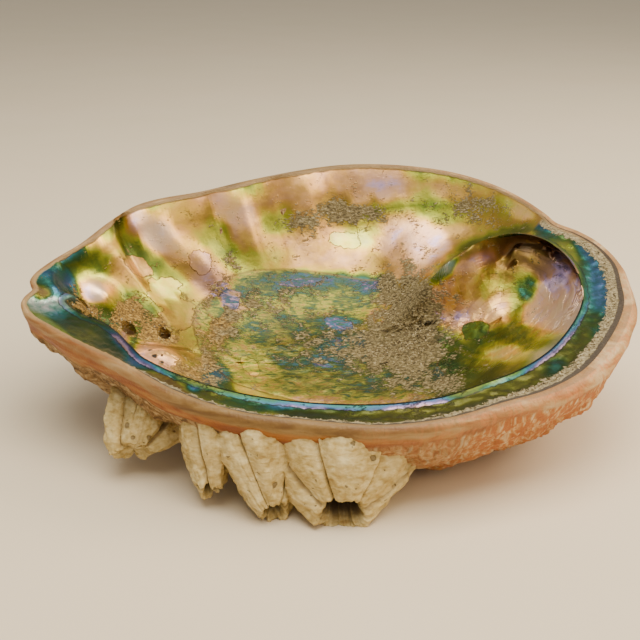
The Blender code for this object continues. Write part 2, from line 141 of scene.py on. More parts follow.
# Colours of the nacre, placed as they are seen from the front, in the photo's pixels: how far across
# and down, half length, half width, turn in degrees, then the colour's place on the nacre's cycle
# (0 pink, 0.2 gold, 0.45 green, 0.7 teal, 0.9 violet) and its lightness. The place on the cycle is
# partly the nacre's own colour and partly its iridescent sheen as seen from the front, painted fixed.
# The lightness is partly the nacre's own tone and partly painted light: painted highlights on the
# ridges' crests, on the boss and as a glint on the far wall, and painted shade in the valleys.
NACRE = (
    (101, 241, 8, 6, 30, 0.1, 0.25), (112, 243, 7, 6, 40, 0.24, 0.3), (107, 227, 8, 4, 20, 0.44, 0),
    (117, 222, 10, 5, 40, 0.52, -0.3), (133, 250, 16, 6, 45, 0.5, -0.25),
    (160, 268, 14, 6, 25, 0.48, -0.2), (125, 268, 12, 7, 20, 0.16, 0),
    (142, 282, 12, 5, 20, 0.22, -0.05), (88, 272, 8, 5, 30, 0.38, 0.1),
    (78, 262, 8, 5, 20, 0.52, -0.35), (68, 252, 8, 3, -15, 0.85, -0.1), (100, 262, 8, 8, 70, 0.5, -0.2),
    (97, 291, 8, 8, 0, 0.02, 0.75), (88, 290, 5, 8, 0, -0.07, 0.3), (97, 279, 9, 4, 0, 0.28, 0.4),
    (112, 292, 6, 10, 0, 0.2, 0.1), (118, 300, 6, 6, 0, 0.42, -0.1), (100, 313, 14, 4, 10, 0.52, -0.4),
    (146, 225, 10, 6, 40, 0.03, 0.5), (160, 233, 12, 7, 40, 0.02, 0.5),
    (178, 245, 12, 8, 35, 0.08, 0.2), (193, 249, 9, 6, 30, 0.2, 0.25), (204, 262, 8, 8, 40, 0.1, 0),
    (203, 272, 9, 7, 0, -0.04, 0.05), (183, 268, 12, 6, 20, 0.14, -0.1),
    (130, 225, 6, 8, 50, -0.07, -0.2), (163, 209, 12, 3, -10, 0.5, -0.3),
    (190, 220, 14, 9, 35, 0.2, -0.2), (212, 234, 9, 8, 40, 0.46, -0.2),
    (220, 247, 9, 7, 45, 0.42, -0.2), (218, 196, 14, 6, 10, 0.05, 0.15),
    (237, 192, 9, 4, 0, 0.34, 0.25), (250, 188, 8, 3, 0, 0.48, -0.2), (233, 209, 12, 6, 30, 0.06, 0.2),
    (247, 220, 12, 8, 35, 0, 0.25), (252, 232, 12, 8, 30, 0.12, 0.05),
    (257, 197, 14, 5, 5, 0.16, -0.15), (275, 222, 16, 7, -20, 0.45, -0.1),
    (297, 181, 14, 4, -5, 0.06, 0.15), (306, 178, 6, 3, 0, 0.28, 0.35), (303, 243, 16, 14, 0, 0.12, 0),
    (262, 245, 14, 8, 0, 0.2, -0.1), (247, 260, 10, 5, 0, 0.38, -0.1),
    (275, 257, 14, 6, 0, 0.24, -0.35), (163, 290, 12, 10, 0, 0.34, 0.35), (168, 283, 6, 5, 0, 0.4, 0.3),
    (150, 296, 8, 6, 0, 0.27, 0.2), (178, 315, 12, 14, 0, 0.26, -0.25), (185, 330, 6, 8, 0, 0.3, -0.1),
    (204, 322, 4, 12, 0, 0.4, 0), (150, 315, 8, 12, 30, 0.5, -0.35), (135, 300, 8, 8, 0, 0.5, -0.3),
    (55, 278, 10, 6, 20, 0.74, -0.2), (62, 285, 6, 4, 20, 0.84, -0.2), (48, 282, 5, 4, 0, 0.64, -0.1),
    (52, 308, 9, 6, 15, 0.74, 0.15), (60, 314, 6, 4, 0, 0.82, -0.1), (50, 322, 12, 4, 30, 0.55, 0),
    (85, 325, 14, 6, 30, 0.56, -0.55), (105, 338, 12, 6, 35, 0.7, -0.5),
    (122, 345, 5, 8, 40, -0.08, -0.1), (131, 343, 4, 6, 40, 0.7, 0), (70, 300, 5, 8, 20, 0.6, -0.7),
    (160, 355, 20, 8, 10, 0.04, 0.2), (150, 360, 12, 5, 0, 0, 0.3), (185, 350, 8, 10, 20, 0.28, -0.2),
    (200, 360, 10, 10, 45, 0.34, -0.3), (215, 375, 10, 8, 45, 0.78, 0),
    (222, 385, 8, 5, 30, 0.62, -0.1), (240, 375, 12, 8, 50, 0.32, 0.2),
    (255, 385, 10, 6, 50, 0.3, 0.25), (270, 388, 10, 5, 40, 0.26, 0.1),
    (225, 300, 12, 10, 0, -0.1, -0.1), (212, 315, 8, 12, 0, 0.46, -0.1), (240, 293, 6, 4, 0, 0.8, -0.3),
    (290, 283, 30, 5, -3, 0.62, -0.25), (330, 279, 30, 4, 0, 0.72, -0.25),
    (368, 284, 14, 4, 0, 0.82, -0.3), (332, 293, 20, 5, -5, 0.46, 0), (322, 308, 22, 5, -5, 0.36, 0.1),
    (300, 296, 14, 5, 0, 0.4, 0.05), (345, 303, 14, 4, 0, 0.5, 0), (339, 326, 12, 4, 0, 0.76, 0.1),
    (355, 330, 8, 3, 0, 0.16, -0.4), (311, 360, 30, 5, 0, 0.68, -0.1), (345, 345, 14, 8, 0, 0.66, -0.1),
    (250, 330, 14, 16, 0, 0.42, -0.1), (285, 340, 25, 14, 0, 0.46, -0.3),
    (260, 365, 16, 8, 40, 0.34, 0.2), (300, 380, 30, 6, 0, 0.4, -0.2), (370, 375, 30, 8, 0, 0.5, -0.2),
    (310, 325, 20, 8, 0, 0.58, -0.2), (337, 178, 22, 5, 0, 0.06, 0.25),
    (330, 190, 16, 6, 0, 0.14, 0.15), (359, 196, 8, 5, -20, 0.02, 0.35),
    (421, 187, 14, 5, 5, 0.26, 0.25), (443, 176, 16, 3, 8, 0.46, 0), (456, 190, 12, 5, 10, 0.18, 0.1),
    (476, 192, 12, 5, 15, 0.2, 0.1), (508, 205, 10, 4, 25, 0.34, 0.3), (517, 211, 6, 3, 25, 0.14, 0.4),
    (408, 205, 14, 5, 5, 0.42, 0.05), (430, 208, 16, 6, 5, 0.47, 0.1), (455, 212, 12, 6, 10, 0.38, 0),
    (490, 205, 10, 6, 20, 0.3, -0.1), (341, 213, 12, 6, 0, 0.24, -0.5), (365, 207, 10, 5, 0, 0.4, -0.2),
    (346, 240, 12, 7, 0, 0.36, 0.4), (365, 224, 7, 5, 0, 0.3, 0.2), (417, 237, 14, 12, 0, 0.02, 0.35),
    (436, 245, 10, 10, -40, -0.02, 0.35), (404, 255, 14, 10, 0, 0.06, 0.25),
    (410, 274, 14, 7, 0, 0.1, 0.1), (456, 230, 8, 8, 0, 0.18, -0.1), (446, 222, 10, 4, 0, 0.34, -0.1),
    (322, 243, 16, 12, 0, 0.1, 0.1), (345, 262, 18, 7, 0, 0.1, 0.05), (378, 268, 10, 6, 0, 0.2, -0.15),
    (418, 283, 8, 4, 0, 0.3, -0.3), (475, 215, 14, 8, 10, 0.24, -0.2), (159, 232, 18, 7, 38, 0.04, 1),
    (185, 252, 14, 7, 35, 0.1, 0.35), (234, 209, 13, 7, 30, 0.03, 0.8),
    (283, 206, 14, 7, 10, 0.14, 0.15), (92, 305, 10, 4, 20, 0.46, -0.25),
    (436, 277, 8, 4, -40, 0.6, 0.2), (447, 268, 7, 4, -40, 0.7, 0.5), (441, 288, 8, 5, -30, 0.06, 0.3),
    (458, 190, 16, 5, 12, 0.14, 0.35), (406, 270, 14, 6, 0, 0.1, 0.3), (420, 282, 12, 5, 0, 0.24, -0.1),
    (350, 187, 10, 6, 0, 0.1, 0.1), (384, 190, 20, 6, -8, -0.07, 0.4),
    (540, 400, 16, 10, -40, 0.66, 0.3), (500, 415, 18, 8, -20, 0.36, -0.05),
    (450, 425, 20, 8, -8, 0.3, -0.1), (390, 432, 24, 9, 0, 0.16, 0), (330, 434, 24, 9, 0, 0.32, -0.1),
    (270, 426, 22, 9, 8, 0.14, 0), (225, 412, 16, 8, 20, 0.3, -0.1), (360, 448, 30, 8, 0, 0.3, 0),
    (250, 446, 26, 8, 10, 0.14, 0.1), (180, 395, 14, 8, 30, 0.4, -0.2),
)

# Colours of the smooth ridge behind the spire's hollow: the same. Its first row, pale teal where the
# lip starts, is a painted highlight.
SPIRE_BACK = (
    (458, 268, 8, 5, -40, 0.68, 0.6), (445, 270, 12, 5, -35, 0.56, 0),
    (480, 250, 22, 6, -20, 0.44, -0.4), (500, 240, 14, 5, -15, 0.4, -0.35),
    (478, 262, 14, 4, -30, 0.48, -0.2), (430, 290, 6, 10, -60, 0.44, -0.2),
    (515, 236, 10, 4, 0, 0.48, -0.4),
)

# Colours inside the spire's hollow: the same. Its dark rows along the top are painted shadow under the
# overhanging lip, laid over the real shadow there.
SPIRE_HOLLOW = (
    (478, 262, 16, 5, -30, -0.07, 0.25), (470, 278, 6, 14, 30, 0.14, 0.35),
    (460, 290, 6, 14, 20, 0.2, 0.1), (500, 249, 20, 6, -12, 0.2, -0.6),
    (530, 249, 20, 8, 0, 0.12, -0.65), (558, 256, 10, 6, 30, -0.08, -0.5),
    (510, 268, 16, 8, -10, 0.2, -0.3), (540, 264, 16, 8, 10, 0.06, -0.5),
    (561, 278, 5, 12, 20, -0.06, 0.3), (565, 290, 8, 10, 0, -0.02, 0.35),
    (548, 305, 12, 10, 0, 0.02, 0.6), (555, 318, 18, 14, -40, 0.03, 0.7),
    (520, 335, 26, 7, 5, 0.47, -0.35), (545, 352, 16, 6, -40, 0.66, 0.6),
    (498, 357, 18, 8, -10, 0.26, 0.5), (505, 302, 8, 8, 0, 0, 0.1), (527, 288, 5, 9, 0, 0.62, 0.1),
    (514, 300, 6, 12, 0, 0.42, -0.1), (490, 286, 10, 8, 0, 0.3, 0.05),
    (456, 322, 9, 11, 0, -0.05, 0.15), (455, 300, 8, 10, 0, 0.1, 0.2), (490, 315, 10, 8, 0, 0.12, 0.3),
    (465, 365, 20, 15, 0, 0.5, -0.35), (480, 372, 20, 6, -10, 0.46, -0.2),
    (520, 362, 12, 6, -30, 0.4, 0.2), (500, 372, 20, 5, -15, 0.46, -0.3),
    (450, 345, 8, 12, 0, 0.52, -0.3),
)

# Sharp-edged patches of nacre laid over the rest: the same.
FLAKES = (
    (165, 290, 17, 14, -15, 0.32, 0.3), (178, 315, 16, 18, 10, 0.24, -0.3),
    (205, 321, 6, 14, 5, 0.4, 0.05), (201, 262, 12, 12, -10, 0.04, 0.1),
    (138, 266, 17, 8, 30, 0.14, -0.02), (230, 299, 12, 11, -40, -0.08, -0.3),
    (217, 308, 8, 13, 20, 0.44, 0), (345, 240, 17, 8, 8, 0.33, 0.4), (362, 222, 8, 6, 0, 0.3, 0.15),
    (476, 330, 14, 9, -10, 0.48, -0.1), (340, 324, 16, 6, 10, 0.74, 0.2),
    (303, 283, 26, 5, -3, 0.8, -0.3), (250, 366, 7, 13, -35, 0.3, 0.3),
)

# Colours of the nacre on the ledge between the rim and the inner lip: the same.
SHELF = (
    (54, 280, 14, 6, 35, 0.74, 0.25), (62, 285, 5, 5, 20, 0.86, 0.1), (46, 281, 4, 5, 0, 0.6, -0.1),
    (52, 308, 13, 6, 25, 0.73, 0.6), (60, 316, 6, 3, 20, 0.82, 0.3), (42, 293, 4, 4, 0, 0.16, -0.7),
    (52, 326, 12, 3, 35, 0.45, 0.3), (70, 322, 14, 5, 30, 0.56, -0.5), (85, 330, 14, 6, 32, 0.5, -0.35),
    (105, 343, 12, 5, 32, 0.58, -0.3), (120, 338, 5, 9, -30, 0.92, -0.25),
    (130, 345, 4, 7, 30, 0.66, 0.15), (112, 351, 8, 4, 30, 0.5, -0.5), (92, 334, 10, 2, 32, 0.2, -0.6),
    (150, 365, 16, 4, 18, 0.82, 0.1), (165, 378, 14, 4, 20, 0.2, -0.5), (195, 386, 6, 3, 10, 0.8, 0.15),
    (182, 380, 6, 3, 10, 0.48, -0.5), (212, 392, 8, 4, 10, 0.4, -0.5),
    (240, 395, 14, 6, 15, 0.57, 0.05), (262, 398, 8, 5, 10, 0.66, 0), (300, 403, 22, 4, 3, 0.82, 0.05),
    (345, 405, 14, 4, 0, 0.74, -0.1), (395, 402, 30, 3, -4, 0.86, -0.05),
    (315, 413, 14, 4, 3, 0.46, -0.6), (355, 414, 20, 4, 0, 0.4, -0.6),
    (410, 413, 26, 4, -6, 0.34, -0.6), (455, 398, 20, 5, -15, 0.36, -0.65),
    (468, 389, 10, 3, -15, 0.6, 0.35), (493, 381, 9, 3, -20, 0.6, 0.25),
    (500, 392, 22, 5, -22, 0.36, -0.6), (505, 373, 16, 3, -22, 0.72, -0.1),
    (540, 356, 24, 3.5, -36, 0.86, -0.05), (553, 367, 8, 4, -35, 0.74, -0.15),
    (530, 378, 20, 6, -30, 0.36, -0.6), (572, 342, 14, 9, -50, 0.42, -0.55),
    (580, 317, 5, 6, -60, 0.66, 0.1), (570, 330, 5, 8, -40, 0.7, -0.1),
    (597, 288, 8, 24, -5, 0.79, 0.15), (588, 290, 4, 24, -5, 0.68, 0.3),
    (592, 318, 8, 6, 0, 0.46, -0.5), (566, 252, 16, 7, 42, 0.4, 0.05),
    (584, 272, 3, 14, -10, 0.6, 0.05), (585, 252, 4, 14, -35, 0.84, -0.1),
    (545, 232, 14, 4, 20, 0.66, 0), (525, 224, 16, 3, 5, 0.78, 0.15),
    (600, 245, 8, 20, -40, 0.4, -0.45), (570, 232, 14, 5, 30, 0.44, -0.4),
    (522, 230, 10, 3, 5, 0.18, 0.1), (545, 228, 12, 2, 18, 0.85, 0.05),
)

# Colours of the narrow strip along the inner lip: the same, but placed by x and v.
STRIP = (
    (-86, -3, 5, 4, 0, 0.74, 0.25), (-84, -14, 5, 5, 0, 0.73, 0.45), (-74, -22, 8, 5, -40, 0.56, -0.35),
    (-63, -33, 6, 5, -50, 0.92, -0.2), (-52, -44.5, 7, 5, -40, 0.82, 0.1),
    (-38, -53.5, 6, 5, -30, 0.48, -0.3), (-28, -57.5, 6, 5, -20, 0.57, 0.05),
    (-18, -61, 6, 5, -10, 0.66, 0), (-6, -63, 6, 5, 0, 0.82, 0.05), (8, -64, 7, 5, 0, 0.74, -0.1),
    (25, -62.5, 8, 5, 8, 0.87, -0.05), (40, -58, 5, 5, 20, 0.45, -0.4), (47, -54, 4, 4, 25, 0.6, 0.3),
    (54, -50, 4, 4, 38, 0.58, 0.2), (61, -45, 6, 5, 45, 0.86, -0.05), (69, -36, 6, 5, 52, 0.86, -0.05),
    (75, -27, 5, 5, 58, 0.76, 0), (80, -16, 6, 5, 68, 0.68, 0.1), (82, -6, 7, 5, 84, 0.62, 0.05),
    (82.3, 3, 6, 5, 90, 0.5, 0.05), (80.5, 12, 6, 5, -75, 0.42, 0.05),
    (76.5, 20, 6, 5, -60, 0.46, 0.05), (71.5, 25, 5, 5, -40, 0.62, 0), (64, 28, 6, 5, -15, 0.78, 0.1),
)

# Where gritty deposits lie on the nacre, placed in pixels as its colours are, then how much.
GRIT = (
    (84, 308, 12, 6, 20, 0.9), (128, 315, 12, 16, 40, 1), (155, 330, 16, 9, 0, 1),
    (165, 337, 10, 5, 0, 1.2), (222, 325, 14, 24, 20, 0.8), (195, 375, 22, 8, 20, 0.6),
    (410, 330, 28, 45, 0, 1.1), (390, 290, 12, 14, 0, 1), (385, 350, 40, 22, 0, 0.75),
    (320, 340, 40, 25, 0, 0.35), (275, 300, 30, 10, -10, 0.35), (350, 213, 40, 9, 0, 0.8),
    (365, 207, 12, 6, 0, 0.7), (470, 205, 30, 14, 10, 0.5), (305, 222, 12, 6, 0, 0.7),
    (218, 298, 8, 18, 30, 0.5), (232, 262, 8, 4, 20, 0.6), (45, 292, 6, 5, 0, 1),
    (205, 365, 16, 12, 0, 0.6), (435, 385, 25, 8, -5, 0.6), (255, 305, 10, 8, 0, 0.5),
)

# How wide the chalky crust is along the rim's inner side: x, v, half length, half width, turn in
# degrees, then its width and the width of the dark line at its outer edge.
CHALK = (
    (-92, -15, 8, 8, 0, -1, 0), (-70, -38, 14, 8, -45, -1, 0), (-48, -56, 8, 8, -35, 2.8, 1.2),
    (-35, -62, 8, 8, -35, 2.8, 1.9), (-15, -70, 16, 8, -10, 2.5, 1.7), (15, -74, 18, 8, 0, 2.6, 1.7),
    (40, -68, 12, 8, 25, 3.6, 1.8), (60, -60, 10, 8, 35, 5.2, 2), (78, -46, 12, 8, 50, 5.6, 2.5),
    (92, -20, 12, 8, 75, 5.2, 2.2), (95, 3, 12, 8, 90, 5, 1.5), (90, 20, 10, 8, -70, 4, 0.8),
    (80, 32, 10, 8, -60, 3, 0.4),
)

# Small dark pits on the boss and the plates, placed as they are seen from the front: how far across
# and down in the photo's pixels, then the radius in millimetres.
BOSS_PITS = ((150, 350, 0.8), (155, 356, 1.1), (162, 355, 0.6), (162, 362, 0.8))
PLATE_PITS = {
    "barnacle_large": ((353, 443, 0.7), (373, 458, 1.0)),
    "barnacle_middle": ((275, 485, 1.0),),
    "barnacle_worn": ((127, 425, 1.1), (133, 438, 0.8), (150, 438, 1.0)),
}

# The large muscle's scar on the floor, as its outline's x, v.
SCAR = (
    (-47.6, 18), (-44, 5), (-38, -4), (-31, -10.5), (-19, -16), (0, -20), (20, -22), (37.5, -21),
    (39, -2), (39.5, 13), (34, 25.6), (27.5, 35), (22, 40), (5, 44), (-10, 44.5), (-24, 41.5),
    (-33.5, 38), (-40.5, 31), (-46, 25),
)
SCAR_CENTRE = np.array([-4.0, 12.0])

# Barnacles: the middle of the mouth and of the foot in the stood shell's axes, the foot's and the
# mouth's half width and half height, number of plates, depth of the mouth as a share of the height,
# where the seams between the plates start, in radians, and how much shorter the upper plates are.
BARNACLES = {
    "barnacle_large": ((4, -76.8, 4.5), (3, -61, 14.5), (20, 16), (7.2, 5.0), 7, 0.6, 1.32, 2.4),
    "barnacle_middle": ((-15, -74, 3.45), (-20, -59, 13.5), (15, 15), (4.2, 3.4), 6, 0.5, 1.1, 1.0),
    "barnacle_narrow": ((-32, -66.5, 6.0), (-36.5, -56, 16), (10.5, 11), (3.4, 2.6), 5, 0.5, 1.2, 0.6),
    "barnacle_worn": ((-57, -51, 9.5), (-58, -44, 12.5), (15.5, 7.5), (7.0, 3.2), 5, 0.12, 0.9, 0.0),
}

# Where neighbouring barnacles meet: the least and the greatest x that each one may reach.
REACH = {
    "barnacle_large": (-12.5, 99),
    "barnacle_middle": (-32.5, -9.5),
    "barnacle_narrow": (-99, -29.0),
    "barnacle_worn": (-99, 99),
}

# The deposits' loose grains.
GRAINS_PER_SQUARE_METRE = 1.5e6
GRAIN_RADIUS = 0.34

# How finely the shell is divided: columns round the rim, and rows on each stretch of a section.
COLUMNS = 420
FLOOR_ROWS = 120
LEDGE_ROWS = 18
OUTSIDE_ROWS = 70

# How finely a barnacle is divided: sides round it, and rows up its walls.
PLATE_SIDES = 300
PLATE_ROWS = 46


def unit(vectors):
    return vectors / np.linalg.norm(vectors, axis=-1, keepdims=True)


def smooth(share):
    share = np.clip(share, 0, 1)
    return share * share * (3 - 2 * share)


def closed_spline(values, count):
    """`count` rows of a smooth closed curve through `values`, even along its first two columns."""
    gaps = np.linalg.norm(np.roll(values, -1, 0)[:, :2] - values[:, :2], axis=1)
    knots = np.concatenate([[0], np.cumsum(gaps)])
    slopes = (np.roll(values, -1, 0) - np.roll(values, 1, 0)) / (gaps + np.roll(gaps, 1))[:, None]
    place = np.linspace(0, knots[-1], count, endpoint=False)
    piece = np.clip(np.searchsorted(knots, place, side="right") - 1, 0, len(values) - 1)
    after = (piece + 1) % len(values)
    gap = gaps[piece][:, None]
    t = (place - knots[piece])[:, None] / gap
    start = (2 * t**3 - 3 * t**2 + 1) * values[piece] + (t**3 - 2 * t**2 + t) * gap * slopes[piece]
    end = (3 * t**2 - 2 * t**3) * values[after] + (t**3 - t**2) * gap * slopes[after]
    return start + end


def outward(outline):
    """Unit vectors pointing out of a counter-clockwise outline, one for each of its points."""
    along = np.roll(outline, -1, 0) - np.roll(outline, 1, 0)
    return unit(np.stack([along[:, 1], -along[:, 0]], 1))


def oval(x, v, row):
    """Squared distance from an oval's middle, where 1 is its edge."""
    cx, cv, long, wide, turn = row[:5]
    c, s = math.cos(math.radians(turn)), math.sin(math.radians(turn))
    along = ((x - cx) * c + (v - cv) * s) / long
    across = ((v - cv) * c - (x - cx) * s) / wide
    return along**2 + across**2


def swelling(swells, x, v):
    """The summed height at x, v of smooth oval swells."""
    return sum(row[5] * np.exp(-oval(x, v, row)) for row in swells)


def lumps(points, size, octaves=3, seed=0):
    """Smooth uneven values, mostly from -0.5 to 0.5, with lumps of about `size` mm."""
    flat = points.reshape(-1, 3) / size + seed * 7.31
    found = [noise.fractal(Vector(point), 1.0, 2.0, octaves) for point in flat]
    return np.array(found).reshape(points.shape[:-1])


class Dish:
    """A dished surface that meets a closed outline at the rim's plane."""

    def __init__(self, outline, centre, depth, curve):
        away = outline - centre
        angle = np.arctan2(away[:, 1], away[:, 0])
        order = np.argsort(angle)
        self.centre, self.depth, self.curve = centre, depth, curve
        self.angle, self.reach = angle[order], np.linalg.norm(away, axis=1)[order]

    def height(self, points):
        away = points - self.centre
        angle = np.arctan2(away[..., 1], away[..., 0])
        reach = np.interp(angle, self.angle, self.reach, period=2 * math.pi)
        share = np.clip(np.linalg.norm(away, axis=-1) / reach, 0, 1)
        near, far = self.curve[1]
        power = near + (far - near) * (0.5 + 0.5 * np.sin(angle))
        return -self.depth * (1 - share ** self.curve[0]) ** power


class Shell:
    """The shell as rings of points (x, v, h): its hollow, its ledge and lip, and its outside."""

    def __init__(self, columns):
        section = closed_spline(np.array(SECTIONS, float), columns)
        self.rim, self.lip, self.lip_h = section[:, :2], section[:, 2:4], section[:, 4]
        shelf, sag, stand, under, bulge = section[:, 5:].T
        self.shelf, self.stand = np.clip(shelf, 0, 1), np.clip(stand, 0, 1)
        self.sag, self.under = np.clip(sag, 0, None), np.clip(under, 0, None)
        self.bulge = bulge
        self.edge = self.rim + outward(self.rim) * bulge[:, None]
        fine = closed_spline(np.array(SECTIONS, float), 720)
        level = np.clip(fine[:, 5:6], 0, 1) * np.clip(1 - (fine[:, 6:7] - 1.2) / 8, 0, 1)
        mouth = fine[:, :2] * (1 - level) + fine[:, 2:4] * level
        edge = fine[:, :2] + outward(fine[:, :2]) * fine[:, 9:10]
        self.hollow = Dish(mouth, HOLLOW_CENTRE, HOLLOW_DEPTH, HOLLOW_CURVE)
        self.crown = Dish(edge, CROWN_CENTRE, CROWN_DEPTH, CROWN_CURVE)
        self.rise = (self.lip_h - self.hollow.height(self.lip)) * self.stand
        self.pit_depth = SPIRE_FLOOR - self.hollow.height(SPIRE)

    def open_height(self, flat, reach):
        """The hollow's own surface, drawn up to the lip within `reach` of it and down at the spire."""
        gone = np.linalg.norm(flat - self.lip, axis=1)
        pit = np.exp(-np.sum((flat - SPIRE) ** 2, 1) / 16**2)
        rise = self.rise * np.exp(-((gone / reach) ** 2))
        return self.hollow.height(flat) + rise + self.pit_depth * pit

    def floor_ring(self, t):
        """A ring of the hollow, from the lip at t = 0 to the spire's pit at t = 1."""
        flat = self.lip + (SPIRE - self.lip) * t**1.6
        plain = np.column_stack([flat, self.open_height(flat, 7)])
        out = unit(self.lip - SPIRE)
        foot = self.lip + out * (self.under * 0.75)[:, None]
        foot_h = np.minimum(self.hollow.height(foot), self.lip_h - 6)
        if t <= 0.4:
            wall = t / 0.4
            push = self.under * (0.75 * wall + 0.45 * math.sin(math.pi * wall))
            bent = self.lip + out * push[:, None]
            bent_h = self.lip_h + (foot_h - self.lip_h) * smooth(wall) ** 0.8
        else:
            share = (t - 0.4) / 0.6
            bent = foot + (SPIRE - foot) * share
            bent_h = foot_h + (SPIRE_FLOOR - foot_h) * smooth(share) ** 0.7
        hang = smooth((self.under - 1) / 5)[:, None]
        return plain * (1 - hang) + np.column_stack([bent, bent_h]) * hang

    def ledge_ring(self, t):
        """A ring between the rim at t = 0 and the lip at t = 1."""
        flat = self.rim + (self.lip - self.rim) * t
        slung = self.lip_h * t - self.sag * math.sin(math.pi * t) ** 0.8
        height = self.open_height(flat, 5) * (1 - self.shelf) + slung * self.shelf
        return np.column_stack([flat, height])

    def crest_ring(self):
        return np.column_stack([(self.rim + self.edge) / 2, np.full(len(self.rim), 0.4)])

    def outside_ring(self, t):
        """A ring of the outside, from the rim's outer edge at t = 0 to below the spire at t = 1."""
        flat = self.edge + (SPIRE - self.edge) * t**1.9
        return np.column_stack([flat, self.crown.height(flat) - 0.4 * self.bulge * (1 - t) ** 8])


def relieved(grid, height):
    """A grid of rings with each point moved out of the material by its height."""
    inward = np.gradient(grid, axis=0)
    onward = np.roll(grid, -1, 1) - np.roll(grid, 1, 1)
    return grid + unit(np.cross(inward, onward)) * height[..., None]


def leaned(points):
    """Points of the rim's frame leaned about the x axis and stood in their place, in millimetres."""
    c, s = math.cos(LEAN), math.sin(LEAN)
    x, v, h = np.moveaxis(np.asarray(points, float), -1, 0)
    return np.stack([x, v * c - h * s, v * s + h * c], -1) + STAND


def seen(points):
    """How far across and down points of the stood shell lie in the view from the front, in pixels."""
    away = points - EYE
    c, s = math.cos(VIEW_TILT), math.sin(VIEW_TILT)
    distance = away[..., 1] * s - away[..., 2] * c
    scale = VIEW_WIDTH / 2 / (distance * VIEW_SPREAD)
    across = VIEW_WIDTH / 2 + away[..., 0] * scale
    down = VIEW_WIDTH / 2 - (away[..., 1] * c + away[..., 2] * s) * scale
    return across, down


def surface_of(piece):
    return BVHTree.FromObject(piece, bpy.context.evaluated_depsgraph_get())


def pits_on(surface, rows):
    """The pits' middles, where the lines of sight through them meet the surface, and their radii."""
    c, s = math.cos(VIEW_TILT), math.sin(VIEW_TILT)
    found = []
    for across, down, radius in rows:
        right = (2 * across / VIEW_WIDTH - 1) * VIEW_SPREAD
        up = (1 - 2 * down / VIEW_WIDTH) * VIEW_SPREAD
        middle = surface.ray_cast(Vector(EYE * MM), Vector((right, up * c + s, up * s - c)))[0]
        found.append((middle, radius))
    return found


def weighed(rows, x, v, value, base):
    """One of the rows' values at x, v, shared out by how near each row's oval is."""
    weight = np.full(x.shape, 0.004)
    total = weight * base
    for row in rows:
        near = np.exp(-0.75 * oval(x, v, row))
        weight = weight + near
        total = total + near * row[value]
    return total / weight


def colours(rows, x, v):
    """The rows' place on the nacre's cycle and their lightness at x, v."""
    return np.stack([weighed(rows, x, v, 5, 0.12), weighed(rows, x, v, 6, 0.0)], -1)


def flake_masks(x, v):
    """How far inside the nearest flake x, v lies, 1 in its middle and 0 at its edge, and its colour."""
    inside = np.full(x.shape, -3.0)
    phase, light = np.zeros(x.shape), np.zeros(x.shape)
    for row in FLAKES:
        here = 1 - np.sqrt(oval(x, v, row))
        nearer = here > inside
        inside = np.where(nearer, here, inside)
        phase = np.where(nearer, row[5], phase)
        light = np.where(nearer, row[6], light)
    return inside, phase, light


def strongest(rows, x, v, value):
    """The greatest of the rows' values at x, v, each fading out from the middle of its oval."""
    found = np.zeros(x.shape)
    for row in rows:
        found = np.maximum(found, row[value] * np.exp(-0.7 * oval(x, v, row)))
    return found


def scar_depth(x, v):
    """How far x, v lies inside the scar's outline, in millimetres. It is negative outside it."""
    away = closed_spline(np.array(SCAR, float), 360) - SCAR_CENTRE
    angle = np.arctan2(away[:, 1], away[:, 0])
    order = np.argsort(angle)
    ax, av = x - SCAR_CENTRE[0], v - SCAR_CENTRE[1]
    reach = np.linalg.norm(away, axis=1)[order]
    return np.interp(np.arctan2(av, ax), angle[order], reach, period=2 * math.pi) - np.hypot(ax, av)


def settled(grid, from_lip):
    """The inside with the spire's hollow evened out, well away from the lip."""
    away = np.hypot(grid[..., 0] - SPIRE[0], grid[..., 1] - SPIRE[1])
    loose = (smooth((33 - away) / 13) * smooth((from_lip - 0.8) / 4))[..., None]
    pole = grid[0].mean(0)
    for _ in range(220):
        before = np.concatenate([[np.broadcast_to(pole, grid[0].shape)], grid[:-1]])
        after = np.concatenate([grid[1:], grid[-1:]])
        total, weights = np.zeros(grid.shape), np.zeros(away.shape)
        for beside in (before, after, np.roll(grid, 1, 1), np.roll(grid, -1, 1)):
            weight = 1 / (np.sum((beside - grid) ** 2, -1) + 0.05)
            total += beside * weight[..., None]
            weights += weight
        grid = grid + (total / weights[..., None] - grid) * loose * 0.8
        pole = grid[0].mean(0)
    return grid


def inside_relief(grid, ledge, shelf, scar, grit):
    """How far the inside's swells, deposits, scar and rough ledge stand up."""
    x, v = grid[..., 0], grid[..., 1]
    floor = smooth((ledge - 0.9) / 0.3)
    height = swelling(SWELLS, x, v) + 0.5 * lumps(grid, 15, 2, 1) * floor
    scarred = smooth(scar / 1.2) * floor
    height += scarred * (0.25 + 0.5 * lumps(grid, 3.2, 3, 2))
    height += smooth(grit * 1.4 - 0.3) * floor * (0.3 + 0.9 * np.abs(lumps(grid, 2.6, 3, 3)))
    rough = shelf * smooth(ledge / 0.12) * smooth((0.85 - ledge) / 0.1)
    return height + rough * 0.45 * lumps(grid, 2.2, 3, 4)


